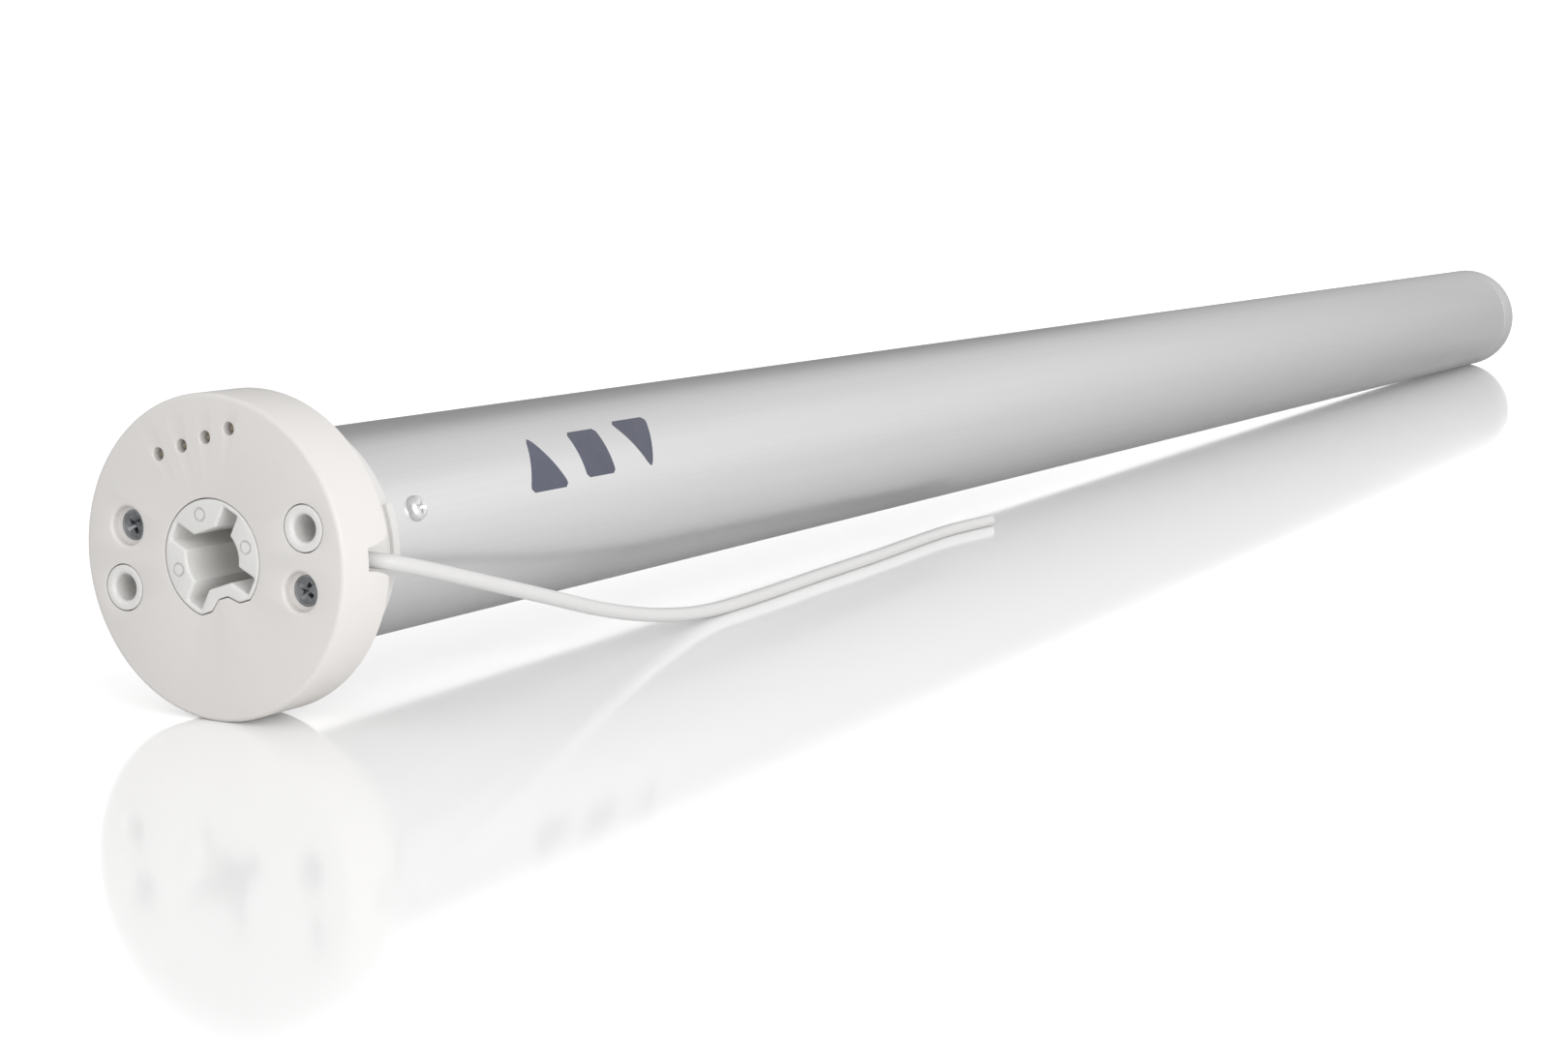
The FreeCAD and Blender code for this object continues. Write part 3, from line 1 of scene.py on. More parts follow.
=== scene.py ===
"""Looks of a roller shutter motor: white moulded head, satin tube, zinc screws, thin lead."""

import json
import math

import bmesh
import bpy
from mathutils import Matrix, Vector


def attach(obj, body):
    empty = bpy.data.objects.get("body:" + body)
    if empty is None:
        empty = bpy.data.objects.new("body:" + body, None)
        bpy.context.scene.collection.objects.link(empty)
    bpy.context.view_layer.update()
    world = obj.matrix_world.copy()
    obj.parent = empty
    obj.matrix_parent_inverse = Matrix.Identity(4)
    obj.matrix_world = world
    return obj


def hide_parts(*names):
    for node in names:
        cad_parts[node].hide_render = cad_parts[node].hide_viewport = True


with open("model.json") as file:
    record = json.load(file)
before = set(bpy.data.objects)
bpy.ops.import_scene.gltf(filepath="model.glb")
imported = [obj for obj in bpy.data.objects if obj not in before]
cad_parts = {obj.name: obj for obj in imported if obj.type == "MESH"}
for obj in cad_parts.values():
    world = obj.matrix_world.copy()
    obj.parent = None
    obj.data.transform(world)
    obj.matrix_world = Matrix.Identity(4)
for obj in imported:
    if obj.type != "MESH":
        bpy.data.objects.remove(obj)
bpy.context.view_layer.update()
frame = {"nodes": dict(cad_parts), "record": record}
NODES = frame["nodes"]

# Pieces are drawn in millimetres in the upright motor: X along it, bushes level, head's face at 0.
# The motor lies turned about X, so every finished piece is laid that way and brought to metres.
LYING_ROLL = -18.5
MM = 0.001
LAY = Matrix.Scale(MM, 4) @ Matrix.Rotation(math.radians(LYING_ROLL), 4, "X")

# sizes in millimetres
HEAD_RADIUS = 29.0
HEAD_DEPTH = 12.8
FACE_WALL = 3.4
CUP_RADIUS = 26.5
SOCKET_RADIUS = 10.5
SOCKET_GAP = 0.2
STAR_DEPTH = 16.0
BUSH_OFFSET = 21.4
BUSH_RADIUS = 4.1
SCREW_PLACE = (16.97, 10.24)
CONTACT_RISE = 20.45
CONTACT_FIRST = -11.405
CONTACT_PITCH = 5.63
CONTACT_COUNT = 4
BUSH_LENGTH = 8.5
BUSH_BORE = 2.4
NOTCH_ANGLE = 196.2
NOTCH_HALF_WIDTHS = ((6.8, 2.0), (9.0, 2.3), (11.0, 2.85), (12.1, 3.3), (12.8, 3.9), (14.0, 5.2))
WELL_RADIUS = 3.5
CROWN_START = 13.3
CROWN_END = 22.3
CROWN_BORE = 20.82
CROWN_LIP_START = 20.95
CROWN_LIP_BORE = 21.4
CROWN_RADIUS = 23.3
KEY_START = 20.3
KEY_HEIGHT = 0.9
KEY_ANGLE = 190.5
KEY_HALF_ANGLE = 13.5
KEY_COUNT = 3
TUBE_RADIUS = 20.0
TUBE_BORE = 19.0
TUBE_START = 22.4
TUBE_END = 791.0
TUBE_SCREW_AT = 33.6
DOME_START = 700.0
DOME_END = 808.0
SIGN_ANGLE = 166.0
INK_LIFT = 0.012
INK_THICKNESS = 0.02

CREASE_ANGLE = 32.0


# ---------------------------------------------------------------- outlines
def rounded(corners, steps=5):
    """A closed outline whose corners (a, b, radius) become arcs; (a, b) stays sharp."""
    points = []
    count = len(corners)
    for index, corner in enumerate(corners):
        here = Vector(corner[:2])
        radius = corner[2] if len(corner) > 2 else 0
        if not radius:
            points.append(tuple(here))
            continue
        back = Vector(corners[index - 1][:2]) - here
        ahead = Vector(corners[(index + 1) % count][:2]) - here
        half = back.angle(ahead) / 2
        cut = min(radius / math.tan(half), 0.49 * back.length, 0.49 * ahead.length)
        radius = cut * math.tan(half)
        back.normalize()
        ahead.normalize()
        middle = here + (back + ahead).normalized() * (radius / math.sin(half))
        first = here + back * cut - middle
        last = here + ahead * cut - middle
        for step in range(steps + 1):
            points.append(tuple(middle + first.normalized().slerp(last.normalized(),
                                                                  step / steps) * radius))
    return points


def circle(radius, across=0.0, up=0.0, steps=64):
    """An outline that can be asked to grow outwards."""
    def outline(grow):
        return [(across + (radius + grow) * math.cos(math.tau * k / steps),
                 up + (radius + grow) * math.sin(math.tau * k / steps)) for k in range(steps)]
    return outline


def star(grow):
    """The drive hole: side lobes on a bore, flats above and below, four arms on the diagonals."""
    half = 1.65 + grow
    flat = 5.0 + grow
    bore = 5.85 + grow
    reach = (9.55 + grow) / math.sqrt(2)
    slant = half * math.sqrt(2)
    tip = half / math.sqrt(2)
    side = (slant + math.sqrt(2 * bore ** 2 - slant ** 2)) / 2
    first = [(side, side - slant, 0.35), (reach + tip, reach - tip, 0.45),
             (reach - tip, reach + tip, 0.45), (flat - slant, flat, 0.5)]
    end = math.atan2(side - slant, side)
    lobe = [(bore * math.cos(end * k / 5), bore * math.sin(end * k / 5)) for k in range(-4, 5)]
    second = [(-corner[0],) + corner[1:] for corner in reversed(first)]
    third = [(-corner[0], -corner[1], corner[2]) for corner in first]
    fourth = [(corner[0], -corner[1], corner[2]) for corner in reversed(first)]
    far_lobe = [(-across, -up) for across, up in lobe]
    return rounded(lobe + first + second + far_lobe + third + fourth, 4)


def insert_outline(grow):
    """The round insert with the flat at its bottom and the notch for the cover's key."""
    radius = SOCKET_RADIUS + grow
    flat = 8.75 + grow
    end = math.asin(flat / radius)
    turn = math.pi + 2 * end
    rim = [(radius * math.cos(turn * k / 72 - end), radius * math.sin(turn * k / 72 - end))
           for k in range(1, 72)]
    side = radius * math.cos(end)
    foot = 3.35 - grow
    tip = 1.1 - grow * 0.5
    low = -7.1 - grow
    return rounded([(side, -flat, 0.4)] + rim + [
        (-side, -flat, 0.4), (-foot, -flat, 1.3), (-tip, low, 0.9), (tip, low, 0.9),
        (foot, -flat, 1.3)], 4)


def mouth(depth, steps=4):
    """(place, growth) pairs of a rounded mouth, from the face inwards."""
    return [(depth * (1 - math.cos(math.pi / 2 * k / steps)),
             depth * (1 - math.sin(math.pi / 2 * k / steps))) for k in range(steps + 1)]


# ---------------------------------------------------------------- meshes
def mesh_of(name, points, faces):
    """A mesh with doubled points merged and, where it closes, every face outward."""
    mesh = bpy.data.meshes.new(name)
    mesh.from_pydata(points, [], faces)
    work = bmesh.new()
    work.from_mesh(mesh)
    bmesh.ops.remove_doubles(work, verts=work.verts, dist=1e-5)
    bmesh.ops.recalc_face_normals(work, faces=work.faces)
    work.to_mesh(mesh)
    work.free()
    return mesh


def turned(name, outline, steps=160):
    """A closed outline of (x, radius) turned about X."""
    count = len(outline)
    points = []
    faces = []
    for step in range(steps):
        turn = math.tau * step / steps
        points += [(x, r * math.cos(turn), r * math.sin(turn)) for x, r in outline]
        after = (step + 1) % steps
        for k in range(count):
            faces.append((step * count + k, step * count + (k + 1) % count,
                          after * count + (k + 1) % count, after * count + k))
    return mesh_of(name, points, faces)


def sector(name, outline, half_angle, steps=16):
    """Part of a turned ring, closed at both of its ends."""
    count = len(outline)
    points = []
    faces = [tuple(range(count)), tuple(range(steps * count, (steps + 1) * count))]
    for step in range(steps + 1):
        turn = math.radians(half_angle) * (2 * step / steps - 1)
        points += [(x, r * math.cos(turn), r * math.sin(turn)) for x, r in outline]
        if step < steps:
            for k in range(count):
                here, after = step * count, (step + 1) * count
                faces.append((here + k, here + (k + 1) % count,
                              after + (k + 1) % count, after + k))
    return mesh_of(name, points, faces)


def lofted(name, sections):
    """A closed solid through sections (x, outline) that have equal numbers of points."""
    count = len(sections[0][1])
    points = [(x, across, up) for x, outline in sections for across, up in outline]
    faces = [tuple(range(count)), tuple(range(len(points) - count, len(points)))]
    for row in range(len(sections) - 1):
        for k in range(count):
            after = (k + 1) % count
            faces.append((row * count + k, row * count + after,
                          (row + 1) * count + after, (row + 1) * count + k))
    return mesh_of(name, points, faces)


def hole(name, outline, depth, mouth_round):
    """The shape of a hole with a rounded mouth in the head's face, to be carved out of a piece."""
    sections = [(-1, outline(mouth_round))]
    sections += [(x, outline(grow)) for x, grow in mouth(mouth_round)]
    sections.append((depth, outline(0)))
    return lofted(name, sections)


def joined(name, meshes):
    """One mesh of several, left as separate shells."""
    work = bmesh.new()
    for mesh in meshes:
        work.from_mesh(mesh)
    mesh = bpy.data.meshes.new(name)
    work.to_mesh(mesh)
    work.free()
    return mesh


def as_object(name, mesh):
    piece = bpy.data.objects.new(name, mesh)
    bpy.context.scene.collection.objects.link(piece)
    return piece


def result_of(piece):
    """The mesh a piece has with its modifiers, and the piece cleared of them."""
    bpy.context.view_layer.update()
    graph = bpy.context.evaluated_depsgraph_get()
    mesh = bpy.data.meshes.new_from_object(piece.evaluated_get(graph))
    piece.modifiers.clear()
    return mesh


def carved(name, mesh, tools, how="DIFFERENCE"):
    """The mesh with all of the tools cut out of it, or joined to it."""
    body = as_object(name, mesh)
    tool = as_object(name + "_tool", joined(name + "_tool", tools))
    cut = body.modifiers.new("Carve", "BOOLEAN")
    cut.operation = how
    cut.solver = "EXACT"
    cut.object = tool
    done = result_of(body)
    bpy.data.objects.remove(body)
    bpy.data.objects.remove(tool)
    return done


def moved(mesh, matrix):
    copy = mesh.copy()
    copy.transform(matrix)
    return copy


def finished(name, mesh, material, body, stands_for=()):
    """Lays a mesh in the motor's place as a piece that rides on a body."""
    mesh.transform(LAY)
    mesh.name = name
    mesh.materials.clear()
    mesh.materials.append(material)
    mesh.shade_smooth()
    mesh.set_sharp_from_angle(angle=math.radians(CREASE_ANGLE))
    piece = as_object(name, mesh)
    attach(piece, body)
    if stands_for:
        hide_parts(*stands_for)
    return piece


# ---------------------------------------------------------------- geometry nodes
def setting_out_tree():
    """Sets a piece out Count times, a Step apart, each turned about X by Turn more."""
    tree = bpy.data.node_groups.new("Setting Out", "GeometryNodeTree")
    face = tree.interface
    face.new_socket("Geometry", in_out="INPUT", socket_type="NodeSocketGeometry")
    face.new_socket("Count", in_out="INPUT", socket_type="NodeSocketInt")
    face.new_socket("Start", in_out="INPUT", socket_type="NodeSocketVector")
    face.new_socket("Step", in_out="INPUT", socket_type="NodeSocketVector")
    face.new_socket("Turn", in_out="INPUT", socket_type="NodeSocketFloat")
    face.new_socket("Finish", in_out="INPUT", socket_type="NodeSocketMaterial")
    face.new_socket("Geometry", in_out="OUTPUT", socket_type="NodeSocketGeometry")
    add, link = tree.nodes.new, tree.links.new
    given = add("NodeGroupInput")
    line = add("GeometryNodeMeshLine")
    link(given.outputs["Count"], line.inputs["Count"])
    link(given.outputs["Start"], line.inputs["Start Location"])
    link(given.outputs["Step"], line.inputs["Offset"])
    index = add("GeometryNodeInputIndex")
    turn = add("ShaderNodeMath")
    turn.operation = "MULTIPLY"
    link(index.outputs[0], turn.inputs[0])
    link(given.outputs["Turn"], turn.inputs[1])
    angles = add("ShaderNodeCombineXYZ")
    link(turn.outputs[0], angles.inputs["X"])
    rotation = add("FunctionNodeEulerToRotation")
    link(angles.outputs[0], rotation.inputs[0])
    place = add("GeometryNodeInstanceOnPoints")
    link(line.outputs["Mesh"], place.inputs["Points"])
    link(given.outputs["Geometry"], place.inputs["Instance"])
    link(rotation.outputs[0], place.inputs["Rotation"])
    real = add("GeometryNodeRealizeInstances")
    link(place.outputs["Instances"], real.inputs["Geometry"])
    paint = add("GeometryNodeSetMaterial")
    link(real.outputs["Geometry"], paint.inputs["Geometry"])
    link(given.outputs["Finish"], paint.inputs["Material"])
    out = add("NodeGroupOutput")
    link(paint.outputs["Geometry"], out.inputs["Geometry"])
    return tree


SETTING_OUT = setting_out_tree()


def set_out(mesh, count, start=(0, 0, 0), step=(0, 0, 0), turn=0.0, finish=None):
    """A mesh of several copies of a mesh, made by the setting-out tree."""
    piece = as_object("setting_out", mesh)
    modifier = piece.modifiers.new("Set out", "NODES")
    modifier.node_group = SETTING_OUT
    values = {"Count": count, "Start": start, "Step": step, "Turn": math.radians(turn),
              "Finish": finish}
    for item in SETTING_OUT.interface.items_tree:
        if item.in_out == "INPUT" and values.get(item.name) is not None:
            modifier[item.identifier] = values[item.name]
    done = result_of(piece)
    bpy.data.objects.remove(piece)
    return done


# ---------------------------------------------------------------- finishes
def wire_up(tree):
    """Short ways to add a node and to link into it."""
    def add(kind, **given):
        node = tree.nodes.new(kind)
        for key, value in given.items():
            setattr(node, key, value)
        return node

    def feed(node, name, source):
        socket = node.inputs[name]
        if isinstance(source, bpy.types.NodeSocket):
            tree.links.new(source, socket)
        else:
            socket.default_value = source
    return add, feed


def effect_group(name, inputs):
    """A shader group that gives a colour, a roughness and a height."""
    tree = bpy.data.node_groups.new(name, "ShaderNodeTree")
    for label, value in inputs:
        kind = "NodeSocketColor" if isinstance(value, tuple) else "NodeSocketFloat"
        tree.interface.new_socket(label, in_out="INPUT", socket_type=kind).default_value = value
    for label, kind in (("Colour", "Color"), ("Roughness", "Float"), ("Height", "Float")):
        tree.interface.new_socket(label, in_out="OUTPUT", socket_type="NodeSocket" + kind)
    add, feed = wire_up(tree)
    return tree, add, feed, add("NodeGroupInput").outputs, add("NodeGroupOutput")


def noise(add, feed, place, scale, detail=2.0, rough=0.5):
    node = add("ShaderNodeTexNoise")
    feed(node, "Vector", place)
    feed(node, "Scale", scale)
    feed(node, "Detail", detail)
    feed(node, "Roughness", rough)
    return node.outputs["Fac"]


def between(add, feed, source, low, high, to_low=0.0, to_high=1.0):
    node = add("ShaderNodeMapRange")
    for name, value in (("Value", source), ("From Min", low), ("From Max", high),
                        ("To Min", to_low), ("To Max", to_high)):
        feed(node, name, value)
    return node.outputs["Result"]


def tint(add, feed, given, out, depth, source, low, high, darkest):
    """Darkens an effect's colour where the source is low, as deep as its depth input says."""
    shade = add("ShaderNodeMix", data_type="RGBA", blend_type="MULTIPLY")
    feed(shade, 0, given[depth])
    feed(shade, 6, given["Colour"])
    tone = add("ShaderNodeCombineColor")
    for channel, dark in zip(("Red", "Green", "Blue"), darkest):
        feed(tone, channel, between(add, feed, source, low, high, dark, 1.0))
    feed(shade, 7, tone.outputs[0])
    feed(out, "Colour", shade.outputs[2])


def vary_roughness(add, feed, given, out, spread, wave):
    """Moves an effect's roughness with a wave from -1 to 1, as far as its spread input says."""
    lift = add("ShaderNodeMath", operation="MULTIPLY_ADD")
    feed(lift, 0, wave)
    feed(lift, 1, given[spread])
    feed(lift, 2, given["Roughness"])
    feed(out, "Roughness", lift.outputs[0])


def stretched(add, feed, place, scale):
    """Object coordinates scaled along the axes, to draw a noise out into lines."""
    stretch = add("ShaderNodeMapping")
    feed(stretch, "Vector", place)
    feed(stretch, "Scale", scale)
    return stretch.outputs[0]


def moulded_skin():
    """Fine spark-eroded grain, faint flow clouds and light handling marks of moulded plastic."""
    tree, add, feed, given, out = effect_group(
        "Moulded Skin", [("Colour", (0.8, 0.8, 0.8, 1)), ("Clouds", 0.03), ("Roughness", 0.4),
                         ("Marks", 0.06), ("Grain Size", 2600.0)])
    place = add("ShaderNodeTexCoord").outputs["Object"]
    clouds = noise(add, feed, place, 38.0, 3.0)
    tint(add, feed, given, out, "Clouds", clouds, 0.3, 0.7, (0.55, 0.52, 0.46))
    marks = noise(add, feed, place, 210.0, 4.0, 0.65)
    vary_roughness(add, feed, given, out, "Marks", between(add, feed, marks, 0.35, 0.7, -1.0, 1.0))
    feed(out, "Height", noise(add, feed, place, given["Grain Size"], 2.0))
    return tree


def drawn_lines():
    """Extrusion lines that run along X, with long faint bands, for tube and shaft stock."""
    tree, add, feed, given, out = effect_group(
        "Drawn Lines", [("Colour", (0.8, 0.8, 0.8, 1)), ("Depth of Tone", 0.08),
                        ("Roughness", 0.35), ("Spread", 0.05), ("Fineness", 2200.0)])
    place = add("ShaderNodeTexCoord").outputs["Object"]
    lines = noise(add, feed, stretched(add, feed, place, (0.006, 1.0, 1.0)),
                  given["Fineness"], 3.0, 0.6)
    bands = noise(add, feed, stretched(add, feed, place, (0.03, 1.0, 1.0)), 190.0, 2.0)
    both = add("ShaderNodeMath", operation="ADD")
    feed(both, 0, lines)
    feed(both, 1, bands)
    both = both.outputs[0]
    tint(add, feed, given, out, "Depth of Tone", both, 0.7, 1.3, (0.3, 0.3, 0.3))
    vary_roughness(add, feed, given, out, "Spread", between(add, feed, both, 0.7, 1.3, 1.0, -1.0))
    feed(out, "Height", lines)
    return tree


def turning_rings():
    """Fine rings left round X by a turning tool, with dulled patches."""
    tree, add, feed, given, out = effect_group(
        "Turning Rings", [("Colour", (0.7, 0.7, 0.7, 1)), ("Depth of Tone", 0.15),
                          ("Roughness", 0.3), ("Spread", 0.08), ("Fineness", 5200.0)])
    place = add("ShaderNodeTexCoord").outputs["Object"]
    rings = noise(add, feed, stretched(add, feed, place, (1.0, 0.02, 0.02)),
                  given["Fineness"], 2.0)
    dull = noise(add, feed, place, 420.0, 4.0, 0.6)
    tint(add, feed, given, out, "Depth of Tone", dull, 0.35, 0.7, (0.4, 0.4, 0.4))
    vary_roughness(add, feed, given, out, "Spread", between(add, feed, dull, 0.3, 0.7, -1.0, 1.0))
    feed(out, "Height", rings)
    return tree


MOULDED = moulded_skin()
DRAWN = drawn_lines()
RINGED = turning_rings()


def finish(name, group, values, colour, metal=0.0, relief=0.02, clear=0.0, brushed=0.0,
           edge=1.0):
    """A material whose colour, roughness and relief (in mm) come from one effect group."""
    material = bpy.data.materials.new(name)
    material.use_nodes = True
    add, feed = wire_up(material.node_tree)
    shader = material.node_tree.nodes["Principled BSDF"]
    effect = add("ShaderNodeGroup")
    effect.node_tree = group
    feed(effect, "Colour", colour + (1.0,))
    for label, value in values.items():
        feed(effect, label, value)
    feed(shader, "Base Color", effect.outputs["Colour"])
    feed(shader, "Roughness", effect.outputs["Roughness"])
    bump = add("ShaderNodeBump")
    feed(bump, "Strength", 0.35)
    feed(bump, "Distance", relief * MM)
    feed(bump, "Height", effect.outputs["Height"])
    feed(shader, "Normal", bump.outputs[0])
    feed(shader, "Metallic", metal)
    feed(shader, "IOR", 1.5)
    feed(shader, "Coat Weight", clear)
    feed(shader, "Coat Roughness", 0.12)
    feed(shader, "Anisotropic", brushed)
    feed(shader, "Specular Tint", (edge, edge, edge, 1))
    material.diffuse_color = colour + (1.0,)
    return material


COVER_WHITE = finish("Cover White", MOULDED, {"Clouds": 0.05, "Roughness": 0.42},
                     (0.765, 0.742, 0.72))
INSERT_WHITE = finish("Insert White", MOULDED,
                      {"Clouds": 0.04, "Roughness": 0.33, "Grain Size": 1500.0},
                      (0.79, 0.785, 0.77), relief=0.008)
BUSH_WHITE = finish("Bush White", MOULDED,
                    {"Clouds": 0.03, "Roughness": 0.28, "Grain Size": 1500.0},
                    (0.80, 0.795, 0.78), relief=0.006)
CORE_WHITE = finish("Core White", MOULDED, {"Clouds": 0.08, "Roughness": 0.5}, (0.72, 0.71, 0.695))
LEAD_WHITE = finish("Lead White", MOULDED, {"Clouds": 0.05, "Roughness": 0.36, "Grain Size": 900.0},
                    (0.70, 0.695, 0.69), relief=0.015)
TUBE_SATIN = finish("Satin Anodised", DRAWN,
                    {"Depth of Tone": 0.05, "Roughness": 0.37, "Spread": 0.03},
                    (0.785, 0.78, 0.785), metal=1.0, relief=0.004, brushed=0.25, edge=0.6)
DOME_SATIN = finish("Satin Silver Cap", MOULDED, {"Clouds": 0.06, "Roughness": 0.40, "Marks": 0.03},
                    (0.76, 0.76, 0.77), metal=1.0, relief=0.006, edge=0.6)
ZINC = finish("Grey Zinc", RINGED, {"Depth of Tone": 0.45, "Roughness": 0.28, "Spread": 0.12},
              (0.36, 0.37, 0.385), metal=1.0, relief=0.010)
CLEAR_ZINC = finish("Clear Zinc", RINGED,
                    {"Depth of Tone": 0.15, "Roughness": 0.42, "Spread": 0.06},
                    (0.86, 0.86, 0.87), metal=1.0, relief=0.006)
STEEL = finish("Turned Steel", RINGED, {"Roughness": 0.3}, (0.56, 0.56, 0.57), metal=1.0,
               relief=0.012)
CAN_STEEL = finish("Drawn Can Steel", DRAWN, {"Roughness": 0.34, "Fineness": 1200.0},
                   (0.58, 0.59, 0.60), metal=1.0, relief=0.006)
LAMINATIONS = finish("Laminated Iron", RINGED,
                     {"Depth of Tone": 0.5, "Roughness": 0.45, "Fineness": 2000.0},
                     (0.30, 0.30, 0.32), metal=1.0, relief=0.06)
COPPER = finish("Enamelled Copper", RINGED,
                {"Depth of Tone": 0.5, "Roughness": 0.3, "Fineness": 1400.0},
                (0.70, 0.31, 0.14), metal=1.0, relief=0.12, clear=0.5)
BRASS = finish("Dull Brass", RINGED, {"Roughness": 0.4}, (0.38, 0.33, 0.25), metal=1.0,
               relief=0.006)
BRONZE = finish("Sintered Bronze", MOULDED,
                {"Clouds": 0.4, "Roughness": 0.42, "Grain Size": 5200.0},
                (0.52, 0.37, 0.20), metal=1.0, relief=0.03)
ACETAL = finish("Natural Acetal", MOULDED, {"Clouds": 0.08, "Roughness": 0.34}, (0.78, 0.76, 0.69),
                relief=0.008)
RUBBER = finish("Black Elastomer", MOULDED, {"Clouds": 0.4, "Roughness": 0.62},
                (0.022, 0.022, 0.023), relief=0.05)
DARK_FILLED = finish("Glass Filled Dark", MOULDED,
                     {"Clouds": 0.4, "Roughness": 0.5, "Grain Size": 3200.0},
                     (0.03, 0.032, 0.035), relief=0.03)
FERRITE = finish("Ferrite", MOULDED, {"Clouds": 0.5, "Roughness": 0.48, "Grain Size": 4200.0},
                 (0.045, 0.045, 0.05), relief=0.04)
BOARD_GREEN = finish("Solder Mask", MOULDED, {"Clouds": 0.5, "Roughness": 0.3, "Grain Size": 700.0},
                     (0.012, 0.11, 0.05), relief=0.03, clear=0.3)
SLEEVE_BLUE = finish("Shrink Sleeve", MOULDED,
                     {"Clouds": 0.2, "Roughness": 0.26, "Grain Size": 300.0},
                     (0.02, 0.09, 0.17), relief=0.08, clear=0.3)
WIRE_RED = finish("Wire Insulation", MOULDED, {"Clouds": 0.2, "Roughness": 0.38},
                  (0.30, 0.03, 0.02))
SIGN_INK = finish("Slate Ink", MOULDED, {"Clouds": 0.35, "Roughness": 0.46, "Grain Size": 5200.0},
                  (0.078, 0.084, 0.125), relief=0.006)

FINISH_OF_SLOT = {
    "cover_plastic": COVER_WHITE, "core_plastic": CORE_WHITE, "insert_plastic": INSERT_WHITE,
    "bush_plastic": BUSH_WHITE, "dome_plastic": DOME_SATIN, "anodised_tube": TUBE_SATIN,
    "zinc_steel": ZINC, "turned_steel": STEEL, "motor_steel": CAN_STEEL,
    "laminated_steel": LAMINATIONS, "copper_winding": COPPER, "brass_pin": BRASS,
    "bearing_bronze": BRONZE, "magnet_ferrite": FERRITE, "carbon_brush": DARK_FILLED,
    "gear_plastic": ACETAL, "seal_rubber": RUBBER, "lead_jacket": LEAD_WHITE,
    "wire_insulation": WIRE_RED, "board_laminate": BOARD_GREEN, "terminal_plastic": DARK_FILLED,
    "component_sleeve": DARK_FILLED, "radio_can": CAN_STEEL, "cell_sleeve": SLEEVE_BLUE,
}
for part in frame["record"]["subparts"]:
    node = NODES[part["node"]]
    node.data.materials.clear()
    node.data.materials.append(FINISH_OF_SLOT[part["material_slot"]])


# ---------------------------------------------------------------- head
def notch_shape():
    """The lead's notch in the rim, which flares towards the rim's open rear edge."""
    inner, outer = CUP_RADIUS - 1.5, HEAD_RADIUS + 2.0
    sections = []
    for x, half in NOTCH_HALF_WIDTHS:
        sections.append((x, [(inner, -half), (outer, -half), (outer, half), (inner, half)]))
    mesh = lofted("notch", sections)
    mesh.transform(Matrix.Rotation(math.radians(NOTCH_ANGLE), 4, "X"))
    return mesh


def screw_well(across, up):
    """The well of a face screw: rounded mouth, flat floor and the hole for the shank."""
    rim = circle(WELL_RADIUS, across, up)
    sections = [(-1, rim(0.7))] + [(x, rim(grow)) for x, grow in mouth(0.7)]
    sections += [(1.85, rim(0)), (1.95, rim(-0.1)), (1.95, rim(-0.66)), (3.2, rim(-1.9)),
                 (4.4, rim(-1.9))]
    return lofted("screw_well", sections)


def make_cover():
    cup = turned("cover", rounded([
        (0, 0), (0, HEAD_RADIUS, 0.9), (HEAD_DEPTH, HEAD_RADIUS, 0.35),
        (HEAD_DEPTH, CUP_RADIUS, 0.25), (FACE_WALL, CUP_RADIUS, 0.5), (FACE_WALL, 0)]), 256)
    tools = [hole("socket_hole", lambda grow: insert_outline(grow + SOCKET_GAP), 5.0, 0.14)]
    for sign in (1, -1):
        tools.append(screw_well(sign * SCREW_PLACE[0], sign * SCREW_PLACE[1]))
        bush = circle(BUSH_RADIUS + SOCKET_GAP, sign * BUSH_OFFSET)
        tools.append(hole("bush_hole", bush, 5.0, 0.12))
    small = hole("small_hole", circle(1.2, CONTACT_FIRST, CONTACT_RISE, 32), 5.0, 0.22)
    tools.append(set_out(small, CONTACT_COUNT, step=(0, CONTACT_PITCH, 0)))
    tools.append(notch_shape())
    finished("head_shell", carved("cover", cup, tools), COVER_WHITE, "housing",
             ["head_cover"])


def make_star_insert():
    """The round insert with the drive hole and three ring marks engraved in its face."""
    sections = [(x, insert_outline(-grow)) for x, grow in mouth(0.3)] + [(18.5, insert_outline(0))]
    tools = [hole("star", star, STAR_DEPTH, 0.55)]
    mark = turned("mark", rounded([
        (-1, 0.92), (-1, 1.3), (0.42, 1.3, 0.12), (0.42, 0.92, 0.12)], 3), 48)
    mark.transform(Matrix.Translation((0, 8.0, 0)))
    tools.append(set_out(mark, 3, turn=90))
    finished("star_insert", carved("star_insert", lofted("insert", sections), tools),
             INSERT_WHITE, "housing", ["star_socket"])


def make_bushes():
    sleeve = turned("bush", rounded([
        (0.0, BUSH_BORE, 0.95), (0.0, BUSH_RADIUS, 0.25), (BUSH_LENGTH, BUSH_RADIUS, 0.3),
        (BUSH_LENGTH, BUSH_BORE, 0.3)], 6), 96)
    pair = set_out(sleeve, 2, (0, BUSH_OFFSET, 0), (0, -2 * BUSH_OFFSET, 0))
    finished("bracket_bushes", pair, BUSH_WHITE, "housing",
             ["guide_bush_left", "guide_bush_right"])


def cross(reach, half):
    """Outline of a screwdriver's cross."""
    quarter = [(half, half), (reach, half), (reach, -half)]
    points = []
    for step in range(4):
        turn = Matrix.Rotation(math.radians(-90 * step), 2)
        points += [tuple(turn @ Vector(point)) for point in quarter]
    return points


